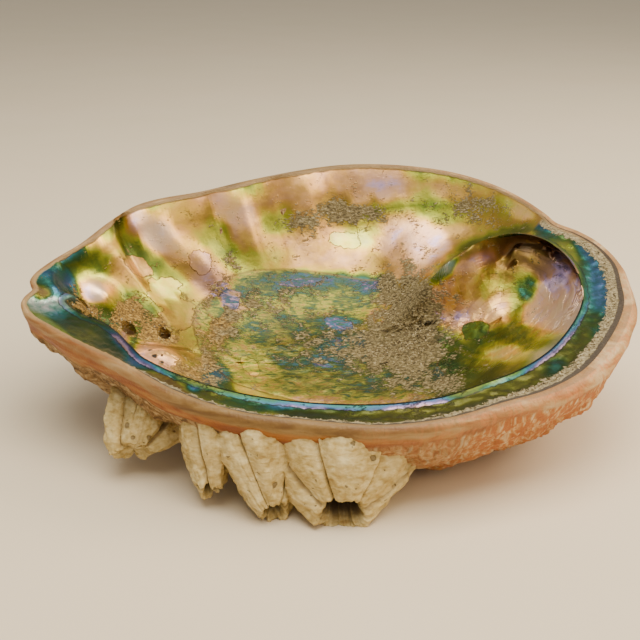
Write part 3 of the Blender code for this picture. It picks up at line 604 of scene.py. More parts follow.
def outside_relief(grid):
    """How far the crust's lumps and growth ridges stand out, and how far its hollows go in."""
    x, v, h = np.moveaxis(grid, -1, 0)
    away = np.hypot(x - SPIRE[0], v - SPIRE[1])
    deep = smooth((-h - 4) / 7)
    spacing, rise = GROWTH_RIDGE
    ridges = rise * np.sin(2 * math.pi * away / spacing) * smooth((-h - 3) / 8) * smooth((h + 45) / 8)
    knob_x, knob_v, knob_width, knob_height = OLD_WHORLS
    knob = knob_height * np.exp(-((x - knob_x) ** 2 + (v - knob_v) ** 2) / knob_width**2)
    height = ridges + knob + swelling(LUMPS, x, v) * smooth(-h / 6)
    run = np.array([-0.55, 0.1, -0.83])
    strand = grid - (grid @ run)[..., None] * run * 0.88
    right = smooth((x - 25) / 30)
    rough = 1.9 * lumps(grid, 11, 3, 5) + 0.8 * lumps(grid, 3.5, 3, 6) - 0.5
    strands = 1.3 * lumps(strand, 2.6, 3, 7) - 0.2
    layers = 0.35 * lumps(grid * [0.4, 0.4, 2.2], 4, 2, 8) * smooth(-h / 2)
    deepest = 1.8 * smooth((-h - 7) / 12)
    return np.maximum(height + deep * (rough * (1 - 0.55 * right) + strands * right), -deepest) + layers


def loft(name, start, rings, end):
    """A closed mesh through rings of points in millimetres, each end drawn in to one point."""
    rows, columns = rings.shape[:2]
    points = np.concatenate([[start], rings.reshape(-1, 3), [end]]) * MM
    here = 1 + np.arange(rows - 1)[:, None] * columns + np.arange(columns)
    there = 1 + np.arange(rows - 1)[:, None] * columns + (np.arange(columns) + 1) % columns
    quads = np.stack([here, here + columns, there + columns, there], -1).reshape(-1, 4)
    first = [(0, 1 + c, 1 + (c + 1) % columns) for c in range(columns)]
    foot = 1 + (rows - 1) * columns
    last = [(foot + columns, foot + (c + 1) % columns, foot + c) for c in range(columns)]
    mesh = bpy.data.meshes.new(name)
    mesh.from_pydata(points.tolist(), [], first + quads.tolist() + last)
    mesh.update()
    piece = bpy.data.objects.new(name, mesh)
    bpy.context.scene.collection.objects.link(piece)
    bm = bmesh.new()
    bm.from_mesh(mesh)
    bmesh.ops.recalc_face_normals(bm, faces=bm.faces)
    bm.to_mesh(mesh)
    bm.free()
    mesh.shade_smooth()
    return piece


def bake(piece):
    """Apply a piece's modifiers."""
    evaluated = piece.evaluated_get(bpy.context.evaluated_depsgraph_get())
    mesh = bpy.data.meshes.new_from_object(evaluated)
    piece.modifiers.clear()
    piece.data = mesh


def mark(piece, masks):
    """Store values on a piece's points, one named attribute for each mask."""
    for name, values in masks.items():
        layer = piece.data.attributes.new(name, "FLOAT", "POINT")
        layer.data.foreach_set("value", np.asarray(values, np.float32))


def make_shell():
    """The shell's fine surface, its masks, and its outside for the barnacles to sit on."""
    shell = Shell(COLUMNS)
    floor_t = np.linspace(1, 0, FLOOR_ROWS + 1)[1:]
    ledge_t = np.linspace(1, 0, LEDGE_ROWS + 1)[1:]
    outside_t = np.linspace(0, 1, OUTSIDE_ROWS + 1)[:-1]
    within = np.array([shell.floor_ring(t) for t in floor_t] + [shell.ledge_ring(t) for t in ledge_t])
    without = np.array([shell.crest_ring()] + [shell.outside_ring(t) for t in outside_t])
    from_lip = np.linalg.norm(within[..., :2] - shell.lip, axis=-1)
    from_lip[FLOOR_ROWS:] = 0
    ledge = 1 + from_lip / 10
    ledge[FLOOR_ROWS:] = ledge_t[:, None]
    step = np.linalg.norm(np.diff(without, axis=0), axis=-1)
    drop = np.concatenate([np.zeros((1, COLUMNS)), np.cumsum(step, 0)])
    width = np.linalg.norm(shell.rim - shell.lip, axis=1)
    flat_ledge = shell.shelf * np.clip(1 - (shell.sag - 1.6) / 3, 0, 1)
    x, v = within[..., 0], within[..., 1]
    wobble, wobble_down = lumps(within, 9, 2, 9), lumps(within, 7, 2, 10)
    within = settled(within, from_lip)
    down = np.linalg.norm(np.diff(np.concatenate([within, without[:1]]), axis=0), axis=-1)
    rim_gap = np.cumsum(down[::-1], 0)[::-1] - down[-1:]
    scar = scar_depth(x + 1.5 * wobble, v)
    grit = strongest(GRIT, *seen(leaned(within)), 5)
    raised = leaned(relieved(within, inside_relief(within, ledge, flat_ledge, scar, grit)))
    across, below = seen(raised)
    spots = across + 4 * wobble, below + 4 * wobble_down
    whorl = np.hypot(x - SPIRE[0], v - SPIRE[1])
    in_hollow = smooth((27 - whorl) / 5) * smooth((x - 36) / 8) * (ledge > 1)
    # The nacre's lightness carries painted highlights and painted shade, and its cycle painted sheen.
    nacre = colours(NACRE + SPIRE_HOLLOW, *spots)
    nacre[ledge <= 1] = colours(NACRE + SPIRE_BACK, *spots)[ledge <= 1]
    nacre_phase, nacre_tone_and_painted_light = np.moveaxis(nacre, -1, 0)
    shelf_phase, shelf_light = np.moveaxis(colours(SHELF, across, below), -1, 0)
    strip_phase, strip_light = np.moveaxis(colours(STRIP, x, v), -1, 0)
    flake, flake_phase, flake_light = flake_masks(across + 2 * wobble, below)
    inside = {
        "nacre_phase": nacre_phase,
        "nacre_tone_and_painted_light": nacre_tone_and_painted_light,
        "scar": scar,
        "grit": strongest(GRIT, *spots, 5),
        "rim_gap": rim_gap,
        "lip_gap": (1 - np.clip(ledge, 0, 1)) * width,
        "shelf": np.broadcast_to(flat_ledge, ledge.shape) * (ledge < 1.001),
        "shelf_phase": shelf_phase,
        "shelf_light": shelf_light,
        "strip_phase": strip_phase,
        "strip_light": strip_light,
        "flake": flake,
        "flake_phase": flake_phase,
        "flake_light": flake_light,
        "chalk": weighed(CHALK, x, v, 5, 1.5),
        "line": weighed(CHALK, x, v, 6, 0.5),
        "whorl": whorl * in_hollow,
    }
    chalky = smooth(inside["chalk"] - rim_gap) * smooth(inside["chalk"] - 2) * smooth(rim_gap - 2)
    uneven = 0.75 + lumps(within, 6, 2, 12)
    thick = smooth((inside["grit"] * uneven - 0.45) * 3) * (flake < 0) * (rim_gap > 4)
    thick = thick * np.where(ledge > 1, 1, 0.6 * (1 - flat_ledge))
    inside["crumbs"] = np.clip(thick + 0.8 * flat_ledge * chalky, 0, 1)
    outside = {name: np.zeros(drop.shape) for name in inside}
    outside["rim_gap"] = -drop
    rings = np.concatenate([raised, leaned(relieved(without, outside_relief(without)))])
    rings[..., 2] = np.maximum(rings[..., 2], 0)
    bottom = leaned([*SPIRE, SPIRE_FLOOR])
    outer = leaned([*SPIRE, shell.crown.height(SPIRE) - OLD_WHORLS[3]])
    piece = loft("shell_nacre_and_crust", bottom, rings, outer)
    masks = {}
    for name in inside:
        body = np.concatenate([inside[name], outside[name]])
        masks[name] = np.concatenate([[body[0].mean()], body.ravel(), [body[-1].mean()]])
    mark(piece, masks)
    split = 1 + (FLOOR_ROWS + LEDGE_ROWS) * COLUMNS
    corners = np.zeros(len(piece.data.loops), np.int32)
    piece.data.loops.foreach_get("vertex_index", corners)
    starts = np.zeros(len(piece.data.polygons), np.int32)
    piece.data.polygons.foreach_get("loop_start", starts)
    highest = np.maximum.reduceat(corners, starts)
    surface = surface_of(piece)
    piece.data.materials.append(nacre_finish(pits_on(surface, BOSS_PITS)))
    piece.data.materials.append(crust_finish())
    piece.data.polygons.foreach_set("material_index", (highest >= split).astype(np.int32))
    return piece, surface


def drill_holes(piece):
    """Open the breathing holes, and give the cut walls the masks of the nacre beside them."""
    names = [layer.name for layer in piece.data.attributes if layer.data_type == "FLOAT"]
    kept = {name: np.zeros(len(piece.data.vertices), np.float32) for name in names}
    for name in names:
        piece.data.attributes[name].data.foreach_get("value", kept[name])
    places = KDTree(len(piece.data.vertices))
    for number, vertex in enumerate(piece.data.vertices):
        places.insert(vertex.co, number)
    places.balance()
    for x, v, radius in HOLES:
        bpy.ops.mesh.primitive_cylinder_add(vertices=40, radius=radius * MM, depth=0.05)
        drill = bpy.context.object
        drill.location = Vector(leaned([x, v, -22])) * MM
        drill.rotation_euler.x = LEAN
        opening = piece.modifiers.new("hole", "BOOLEAN")
        opening.object = drill
        opening.operation = "DIFFERENCE"
        opening.solver = "EXACT"
        bake(piece)
        bpy.data.objects.remove(drill)
    near = [places.find(vertex.co)[1] for vertex in piece.data.vertices]
    for name in names:
        if name in piece.data.attributes:
            piece.data.attributes.remove(piece.data.attributes[name])
    mark(piece, {name: kept[name][near] for name in names})


def make_barnacle(name, surface):
    """One barnacle: seamed plates from a foot on the shell up to a hollowed mouth."""
    sides, rows = PLATE_SIDES, PLATE_ROWS
    mouth, foot, foot_size, mouth_size, plates, depth, first_seam, gape = BARNACLES[name]
    shift = np.array([STAND[0], STAND[1], 0])
    mouth, foot = np.array(mouth, float) + shift, np.array(foot, float) + shift
    seed = len(name) + plates
    axis = unit(mouth - foot)
    side = unit(np.cross(axis, [0, 0, 1]))
    rise = np.cross(side, axis)
    angle = np.linspace(0, 2 * math.pi, sides, endpoint=False)
    across, upward = np.cos(angle)[:, None] * side, np.sin(angle)[:, None] * rise
    spin = across + upward
    round_place = np.column_stack([np.cos(angle), np.sin(angle), np.zeros(sides)])
    bent = angle - first_seam + 0.5 * lumps(round_place, 1.1, 1, seed + 4)
    share_of_plate = (bent * plates / (2 * math.pi)) % 1
    number_of_plate = np.floor(bent * plates / (2 * math.pi)) % plates
    belly = np.abs(np.sin(math.pi * share_of_plate)) ** 0.55
    seam = np.exp(-((np.minimum(share_of_plate, 1 - share_of_plate) / 0.035) ** 2))
    folds = 0.5 + 0.5 * np.cos(3 * bent * plates + 3 * lumps(round_place, 0.5, 2, seed))
    lean = np.array([math.sin(2.4 * number + seed) for number in number_of_plate])
    uneven = 1 + 0.05 * np.cos(2 * angle + plates) + 0.05 * lean + 0.05 * belly
    spread = (across * foot_size[0] + upward * foot_size[1]) * uneven[:, None]
    top = mouth + across * mouth_size[0] + upward * mouth_size[1]
    tips = 0.8 * lean + 1.6 * belly - 1.2 + 1.2 * lumps(round_place, 0.35, 3, seed + 1)
    top = top + axis * (tips - gape * np.sin(angle))[:, None]

    def on_shell(points, sunk):
        found = [surface.find_nearest(Vector(point) * MM) for point in points]
        return np.array([np.array(near) / MM - np.array(normal) * sunk for near, normal, _, _ in found])

    base = on_shell(foot + spread, 0.8)
    cap = [on_shell(foot + spread * share, 1.6) for share in (0.35, 0.7, 0.93)]
    walls = []
    for share in np.linspace(0, 1, rows):
        ring = base + (top - base) * share
        bow = foot_size[0] * 0.08 * math.sin(math.pi * share)
        step = 0.5 * lean * math.sin(math.pi * min(share * 1.4, 1))
        fading = (1 - 0.5 * share) * smooth(share / 0.2 + 0.3)
        relief = (1.7 * belly - 1.5 * seam + 0.35 * folds - 0.8) * fading
        walls.append(ring + spin * (bow + step + relief)[:, None])
    walls = np.array(walls)
    rough = 1.0 * lumps(walls, 5.0, 3, seed + 2) + 0.16 * lumps(walls * [1, 1, 2.5], 1.2, 2, seed + 3)
    walls = walls + spin * rough[..., None] * smooth(np.linspace(0, 1, rows) / 0.1)[:, None, None]
    height = np.linalg.norm(mouth - foot)
    rim = walls[-1]
    lips = [mouth + (rim - mouth) * share - axis * sunk for share, sunk in ((0.9, -0.1), (0.78, 0.3))]
    for share in np.linspace(0.2, 1, 7):
        lips.append(mouth + (rim - mouth) * (0.72 - 0.1 * share) - axis * height * depth * share)
    lips.append(mouth + (rim - mouth) * 0.3 - axis * height * depth)
    rings = np.concatenate([cap, walls, lips])
    low, high = REACH[name]
    grown = 1.6 * lumps(rings, 5, 2, 20)
    rings[..., 0] = np.clip(rings[..., 0], low + shift[0] + grown, high + shift[0] + grown)
    rings[..., 2] = np.maximum(rings[..., 2], 0)
    piece = loft(name + "_plates", on_shell([foot], 1.6)[0], rings, mouth - axis * height * depth)
    within = np.concatenate([np.zeros(len(cap) + rows), np.linspace(0.2, 2.2 * depth, len(lips))])
    body = np.broadcast_to(within[:, None], rings.shape[:2])
    on_walls = np.tile(0.3 * (1 - folds) + seam, (len(cap) + rows, 1))
    groove = np.concatenate([on_walls, np.zeros((len(lips), sides))])
    mark(piece, {
        "within": np.concatenate([[0], body.ravel(), [2.2 * depth]]),
        "groove": np.concatenate([[0], groove.ravel(), [1]]),
    })
    return piece


def make_crumbs(shell, finish):
    """Grains scattered where the deposits are thick, each one sunk to its middle in the shell."""
    tree = bpy.data.node_groups.new("scattered_grains", "GeometryNodeTree")

    def declare(name, way, kind):
        return tree.interface.new_socket(name, in_out=way, socket_type=kind)

    declare("Geometry", "INPUT", "NodeSocketGeometry")
    thickly = declare("Grains per square metre", "INPUT", "NodeSocketFloat")
    size = declare("Grain radius", "INPUT", "NodeSocketFloat")
    size.subtype = "DISTANCE"
    declare("Geometry", "OUTPUT", "NodeSocketGeometry")

    def add(kind, **inputs):
        node = tree.nodes.new(kind)
        for name, value in inputs.items():
            socket = node.inputs[name.replace("_", " ")]
            if isinstance(value, bpy.types.NodeSocket):
                tree.links.new(value, socket)
            else:
                socket.default_value = value
        return node

    def uneven(low, high, seed):
        node = tree.nodes.new("FunctionNodeRandomValue")
        node.data_type = "FLOAT_VECTOR"
        live = [socket for socket in node.inputs if socket.enabled]
        live[0].default_value, live[1].default_value = low, high
        live[-1].default_value = seed
        return [socket for socket in node.outputs if socket.enabled][0]

    start = tree.nodes.new("NodeGroupInput")
    amount = add("GeometryNodeInputNamedAttribute", Name="crumbs")
    density = add("ShaderNodeMath")
    density.operation = "MULTIPLY"
    tree.links.new(amount.outputs["Attribute"], density.inputs[0])
    tree.links.new(start.outputs["Grains per square metre"], density.inputs[1])
    spots = add(
        "GeometryNodeDistributePointsOnFaces",
        Mesh=start.outputs["Geometry"], Density=density.outputs[0], Seed=5,
    )
    grain = add("GeometryNodeMeshIcoSphere", Radius=start.outputs["Grain radius"], Subdivisions=1)
    turned = add("FunctionNodeEulerToRotation", Euler=uneven((0, 0, 0), (6.28, 6.28, 6.28), 2))
    placed = add(
        "GeometryNodeInstanceOnPoints", Points=spots.outputs["Points"], Instance=grain.outputs["Mesh"],
        Rotation=turned.outputs[0], Scale=uneven((0.5, 0.35, 0.4), (1.7, 1.1, 1.2), 3),
    )
    real = add("GeometryNodeRealizeInstances", Geometry=placed.outputs["Instances"])
    painted = add("GeometryNodeSetMaterial", Geometry=real.outputs[0], Material=finish)
    end = tree.nodes.new("NodeGroupOutput")
    tree.links.new(painted.outputs[0], end.inputs[0])
    crumbs = bpy.data.objects.new("deposit_grains", shell.data.copy())
    bpy.context.scene.collection.objects.link(crumbs)
    scatter = crumbs.modifiers.new("scattered_grains", "NODES")
    scatter.node_group = tree
    scatter[thickly.identifier] = GRAINS_PER_SQUARE_METRE
    scatter[size.identifier] = GRAIN_RADIUS * MM
    bake(crumbs)
    return crumbs


class Finish:
    """A node material being built, with short ways to add its nodes."""

    def __init__(self, name):
        self.material = bpy.data.materials.new(name)
        self.material.use_nodes = True
        self.nodes = self.material.node_tree.nodes
        self.links = self.material.node_tree.links
        self.shader = self.nodes["Principled BSDF"]
        self.place = self.nodes.new("ShaderNodeTexCoord").outputs["Object"]

    def feed(self, socket, value):
        if isinstance(value, bpy.types.NodeSocket):
            self.links.new(value, socket)
        else:
            socket.default_value = value

    def surface(self, **values):
        for name, value in values.items():
            self.feed(self.shader.inputs[name.replace("_", " ")], value)

    def mask(self, name):
        node = self.nodes.new("ShaderNodeAttribute")
        node.attribute_name = name
        return node.outputs["Fac"]

    def math(self, operation, first, second=0.0, third=0.0):
        node = self.nodes.new("ShaderNodeMath")
        node.operation = operation
        for socket, value in zip(node.inputs, (first, second, third)):
            self.feed(socket, value)
        return node.outputs[0]

    def add(self, first, second):
        return self.math("ADD", first, second)

    def times(self, first, second):
        return self.math("MULTIPLY", first, second)

    def mixed(self, share, first, second):
        """The first value where share is 0 and the second where it is 1."""
        node = self.nodes.new("ShaderNodeMix")
        for socket, value in zip(node.inputs[:4], (share, None, first, second)):
            if value is not None:
                self.feed(socket, value)
        return node.outputs[0]

    def nacre(self, phase, light):
        """The nacre's colour at a place on its cycle, dimmed or washed out by its lightness, which
        paints shade and highlights too.
        """
        cycle = self.steps(self.math("FRACT", self.add(phase, 2.0)), NACRE_CYCLE)
        shade = self.steps(self.math("MULTIPLY_ADD", light, 0.5, 0.5), DIMMING)
        dimmed = self.blend(1.0, cycle, shade, "MULTIPLY")
        return self.blend(self.times(self.between(light, 0.1, 1.0), 0.8), dimmed, PALE_NACRE_AND_HIGHLIGHT)

    def stretched(self, scale, turn=(0, 0, 0)):
        node = self.nodes.new("ShaderNodeMapping")
        self.feed(node.inputs["Vector"], self.place)
        node.inputs["Rotation"].default_value = [math.radians(angle) for angle in turn]
        node.inputs["Scale"].default_value = scale
        return node.outputs[0]

    def grain(self, size, detail=2.0, place=None, warp=0.0, rough=0.5):
        """Uneven values from 0 to 1, around 0.5, with grains of about `size` mm."""
        node = self.nodes.new("ShaderNodeTexNoise")
        self.feed(node.inputs["Vector"], place or self.place)
        node.inputs["Scale"].default_value = 1000 / size
        node.inputs["Detail"].default_value = detail
        node.inputs["Roughness"].default_value = rough
        node.inputs["Distortion"].default_value = warp
        return node.outputs["Fac"]

    def between(self, value, low, high):
        """0 below `low` and 1 above `high`, or the other way round where low is the greater."""
        node = self.nodes.new("ShaderNodeMapRange")
        node.interpolation_type = "SMOOTHSTEP"
        self.feed(node.inputs["Value"], value)
        node.inputs["From Min"].default_value = min(low, high)
        node.inputs["From Max"].default_value = max(low, high)
        if low > high:
            node.inputs["To Min"].default_value = 1
            node.inputs["To Max"].default_value = 0
        return node.outputs[0]

    def steps(self, value, stops):
        """A colour picked along a ramp of (place, colour) stops."""
        node = self.nodes.new("ShaderNodeValToRGB")
        self.feed(node.inputs[0], value)
        ramp = node.color_ramp
        while len(ramp.elements) < len(stops):
            ramp.elements.new(0.5)
        for element, (place, colour) in zip(ramp.elements, stops):
            element.position = place
            element.color = (*colour, 1)
        return node.outputs[0]

    def blend(self, share, first, second, mode="MIX"):
        node = self.nodes.new("ShaderNodeMix")
        node.data_type = "RGBA"
        node.blend_type = mode
        for place, value in ((0, share), (6, first), (7, second)):
            if isinstance(value, tuple):
                value = (*value, 1)
            self.feed(node.inputs[place], value)
        return node.outputs[2]

    def pitted(self, pits):
        """1 inside the small pits and 0 elsewhere, with uneven edges."""
        uneven = self.times(self.add(self.grain(1.2, 2), -0.5), 1.2)
        found = 0.0
        for middle, radius in pits:
            away = self.nodes.new("ShaderNodeVectorMath")
            away.operation = "DISTANCE"
            self.feed(away.inputs[0], self.place)
            away.inputs[1].default_value = middle
            gap = self.add(self.times(away.outputs["Value"], 1000.0), uneven)
            found = self.math("MAXIMUM", found, self.between(gap, radius, 0.6 * radius))
        return found

    def bump(self, height, depth, before=None):
        """Normals of a surface raised by `depth` mm where height goes from 0 to 1."""
        node = self.nodes.new("ShaderNodeBump")
        node.inputs["Distance"].default_value = depth * MM
        self.feed(node.inputs["Height"], height)
        if before:
            self.feed(node.inputs["Normal"], before)
        return node.outputs[0]


# The nacre's cycle of colours.
NACRE_CYCLE = (
    (0.0, (0.95, 0.52, 0.33)),
    (0.12, (0.95, 0.52, 0.15)),
    (0.22, (0.86, 0.54, 0.07)),
    (0.34, (0.66, 0.64, 0.05)),
    (0.46, (0.22, 0.30, 0.02)),
    (0.58, (0.055, 0.16, 0.035)),
    (0.70, (0.035, 0.23, 0.20)),
    (0.80, (0.06, 0.17, 0.34)),
    (0.87, (0.22, 0.17, 0.36)),
    (0.93, (0.82, 0.56, 0.86)),
    (1.0, (0.95, 0.52, 0.33)),
)

# How the nacre's lightness dims it, from -1 to 1, and the colour that it is washed out to. The dimming
# also makes painted shade, and the washing out painted highlights.
DIMMING = (
    (0.05, (0.04, 0.04, 0.04)),
    (0.50, (0.45, 0.45, 0.45)),
    (0.66, (1, 1, 1)),
)
PALE_NACRE_AND_HIGHLIGHT = (1.0, 0.80, 0.58)

# Ramps of the rough materials, from their dark grain to their light one.
EARTH = (
    (0.30, (0.02, 0.014, 0.006)),
    (0.44, (0.10, 0.072, 0.024)),
    (0.55, (0.22, 0.17, 0.07)),
    (0.72, (0.44, 0.36, 0.20)),
)
OCHRE = (
    (0.32, (0.03, 0.014, 0.003)),
    (0.46, (0.16, 0.085, 0.012)),
    (0.58, (0.34, 0.20, 0.035)),
    (0.72, (0.50, 0.36, 0.12)),
)
LEDGE_CHALK = (
    (0.30, (0.06, 0.042, 0.016)),
    (0.42, (0.17, 0.13, 0.06)),
    (0.56, (0.33, 0.265, 0.14)),
    (0.74, (0.55, 0.47, 0.29)),
)
TAN_LAYER = (
    (0.32, (0.12, 0.05, 0.007)),
    (0.46, (0.17, 0.082, 0.013)),
    (0.56, (0.225, 0.12, 0.025)),
    (0.72, (0.33, 0.20, 0.065)),
)
PALE_LAYER = (
    (0.32, (0.38, 0.13, 0.028)),
    (0.46, (0.45, 0.21, 0.065)),
    (0.56, (0.52, 0.31, 0.125)),
    (0.72, (0.60, 0.43, 0.23)),
)
ORANGE_LAYER = (
    (0.32, (0.16, 0.03, 0.002)),
    (0.46, (0.26, 0.068, 0.004)),
    (0.56, (0.34, 0.115, 0.011)),
    (0.72, (0.42, 0.21, 0.045)),
)
CRUST_EARTH = (
    (0.30, (0.05, 0.022, 0.008)),
    (0.43, (0.19, 0.10, 0.03)),
    (0.54, (0.34, 0.20, 0.075)),
    (0.68, (0.56, 0.41, 0.21)),
)
CRUST_STRANDS = (
    (0.34, (0.22, 0.05, 0.008)),
    (0.45, (0.42, 0.13, 0.025)),
    (0.55, (0.56, 0.28, 0.09)),
    (0.68, (0.70, 0.52, 0.30)),
)
PLATE_CHALK = (
    (0.34, (0.32, 0.20, 0.055)),
    (0.46, (0.46, 0.33, 0.11)),
    (0.56, (0.58, 0.44, 0.18)),
    (0.70, (0.72, 0.59, 0.29)),
)
LOOSE_GRAIN = (
    (0.34, (0.05, 0.035, 0.014)),
    (0.46, (0.18, 0.13, 0.055)),
    (0.56, (0.33, 0.26, 0.13)),
    (0.70, (0.56, 0.48, 0.30)),
)


def hollow_nacre(f, scar, streaks, arcs, on_flake):
    """The nacre of the hollow: its flakes, the scar's flecks and the arcs round the spire."""
    drift = f.add(f.grain(8, 2, warp=0.6), -0.5)
    fleck = f.add(f.grain(1.7, 4, streaks, 1.0), -0.5)
    phase = f.mixed(on_flake, f.mask("nacre_phase"), f.mask("flake_phase"))
    light = f.mixed(on_flake, f.mask("nacre_tone_and_painted_light"), f.mask("flake_light"))
    phase = f.add(phase, f.times(drift, f.add(0.3, f.times(scar, 0.25))))
    phase = f.add(phase, f.times(fleck, f.add(f.times(scar, 0.85), 0.10)))
    phase = f.add(phase, f.times(arcs, 0.035))
    light = f.add(light, f.times(f.add(f.grain(5, 3), -0.5), 0.5))
    light = f.add(light, f.add(f.times(arcs, 0.07), f.times(scar, -0.2)))
    return f.nacre(phase, light)


def brown_lines(f, scar, streaks, flake):
    """Where brown lines run: round the scar, across it, and round the flakes."""
    across = f.math("ABSOLUTE", f.add(f.grain(4.5, 4, streaks, 1.4), -0.5))
    across = f.times(f.between(across, 0.022, 0.004), scar)
    border = f.between(f.mask("scar"), -0.9, -0.2)
    border = f.times(border, f.between(f.mask("scar"), 0.6, 0.0))
    lines = f.math("MAXIMUM", f.times(border, 0.7), f.times(across, 0.6))
    edge = f.times(f.between(flake, -0.07, -0.01), f.between(flake, 0.05, 0.0))
    return f.math("MAXIMUM", lines, f.times(edge, 0.75))


def deposits(f, crumb, flake):
    """Where the gritty deposits lie and their colour, ochre at the left and earthy elsewhere."""
    patch = f.grain(4.5, 3)
    amount = f.add(f.times(f.mask("grit"), 0.62), f.times(crumb, 0.9))
    amount = f.add(amount, f.times(patch, 0.8))
    gritted = f.times(f.between(amount, 1.0, 1.14), f.between(flake, 0.3, 0.0))
    place = f.nodes.new("ShaderNodeSeparateXYZ")
    f.feed(place.inputs[0], f.place)
    east = f.add(place.outputs["X"], f.times(f.add(patch, -0.5), 0.05))
    earth = f.blend(f.between(east, -0.028, -0.048), f.steps(crumb, EARTH), f.steps(crumb, OCHRE))
    return gritted, earth


def ledge_finish(f, crumb, wobble, rim_gap):
    """The ledge's dark nacre, the strip and the thin line along its lip, and its chalky band."""
    lip_gap = f.mask("lip_gap")
    mottle = f.add(f.grain(2.4, 4, warp=0.8), -0.5)
    phase = f.add(f.mask("shelf_phase"), f.times(mottle, 0.22))
    light = f.add(f.mask("shelf_light"), f.times(mottle, 0.7))
    colour = f.nacre(phase, f.add(light, -0.1))
    strip_phase = f.add(f.mask("strip_phase"), f.times(f.add(lip_gap, -1.0), 0.10))
    strip_phase = f.add(strip_phase, f.times(f.add(wobble, -0.5), 0.25))
    strip = f.nacre(strip_phase, f.add(f.mask("strip_light"), f.times(mottle, 0.3)))
    reach = f.add(lip_gap, f.times(f.add(f.grain(2.0, 3), -0.5), 1.6))
    colour = f.blend(f.between(reach, 2.3, 1.7), colour, strip)
    beside = f.times(f.between(reach, 1.9, 2.1), f.between(reach, 2.5, 2.2))
    lip_line = f.math("MAXIMUM", f.between(lip_gap, 0.55, 0.25), beside)
    colour = f.blend(f.times(lip_line, 0.8), colour, (0.012, 0.012, 0.008))
    ragged = f.times(f.add(f.grain(2.2, 5, warp=1.0, rough=0.6), -0.5), 6.0)
    chalked = f.between(f.add(f.math("SUBTRACT", f.mask("chalk"), rim_gap), ragged), -0.25, 0.25)
    return f.blend(chalked, colour, f.steps(crumb, LEDGE_CHALK)), chalked


def nacre_finish(boss_pits):
    """The inside: nacre, brown lines, deposits and pits, the ledge, the rim and its dark line."""
    f = Finish("nacre")
    scar = f.between(f.mask("scar"), -0.2, 0.9)
    rim_gap, whorl = f.mask("rim_gap"), f.mask("whorl")
    on_shelf = f.between(f.mask("shelf"), 0.35, 0.6)
    streaks = f.stretched((0.45, 1.5, 1.5), (10, 0, 12))
    wobble = f.grain(3.5, 3)
    arcs = f.math("SINE", f.add(f.times(whorl, 1.5), f.times(f.grain(9, 2), 9.0)))
    arcs = f.times(f.times(arcs, f.between(whorl, 0.5, 4)), f.between(whorl, 26, 20))
    flake = f.add(f.mask("flake"), f.times(f.add(wobble, -0.5), 0.9))
    on_flake = f.between(flake, 0.0, 0.03)
    crumb = f.grain(0.8, 4, f.stretched((0.6, 1.2, 1.2), (10, 0, 8)), 0.5, 0.65)

    colour = hollow_nacre(f, scar, streaks, arcs, on_flake)
    colour = f.blend(brown_lines(f, scar, streaks, flake), colour, (0.085, 0.05, 0.012))
    gritted, earth = deposits(f, crumb, flake)
    colour = f.blend(gritted, colour, earth)
    pits = f.pitted(boss_pits)
    colour = f.blend(pits, colour, (0.02, 0.014, 0.006))
    ledge, chalked = ledge_finish(f, crumb, wobble, rim_gap)
    colour = f.blend(on_shelf, colour, ledge)
    rim = f.between(f.add(rim_gap, f.times(f.add(wobble, -0.5), 1.2)), 1.3, 0.6)
    colour = f.blend(rim, colour, f.blend(wobble, (0.22, 0.13, 0.045), (0.42, 0.28, 0.12)))
    line_width = f.mask("line")
    line = f.math("SUBTRACT", f.add(line_width, f.times(f.add(wobble, -0.5), 0.5)), rim_gap)
    line = f.times(f.between(line, 0.0, 0.35), f.between(line_width, 0.15, 0.4))
    line = f.times(line, on_shelf)
    colour = f.blend(f.times(line, 0.93), colour, (0.05, 0.034, 0.022))

    dull = f.math("MAXIMUM", f.math("MAXIMUM", gritted, pits), f.times(rim, 0.8))
    dull = f.math("MAXIMUM", dull, f.times(f.math("MAXIMUM", chalked, line), on_shelf))
    shine = f.add(1.0, f.times(dull, -1.0))
    rough = f.add(f.times(dull, 0.9), f.add(f.times(scar, 0.3), 0.03))
    relief = f.bump(f.grain(6, 3), 0.25)
    relief = f.bump(arcs, 0.06, relief)
    relief = f.bump(on_flake, 0.3, relief)
    relief = f.bump(f.times(crumb, rough), 0.6, relief)
    f.surface(
        Base_Color=colour,
        Metallic=f.times(shine, f.add(0.82, f.times(scar, -0.25))),
        Roughness=f.add(0.35, f.add(f.times(dull, 0.45), f.times(scar, 0.06))),
        Coat_Weight=f.times(shine, 0.12),
        Coat_Roughness=0.14,
        Normal=relief,
    )
    return f.material


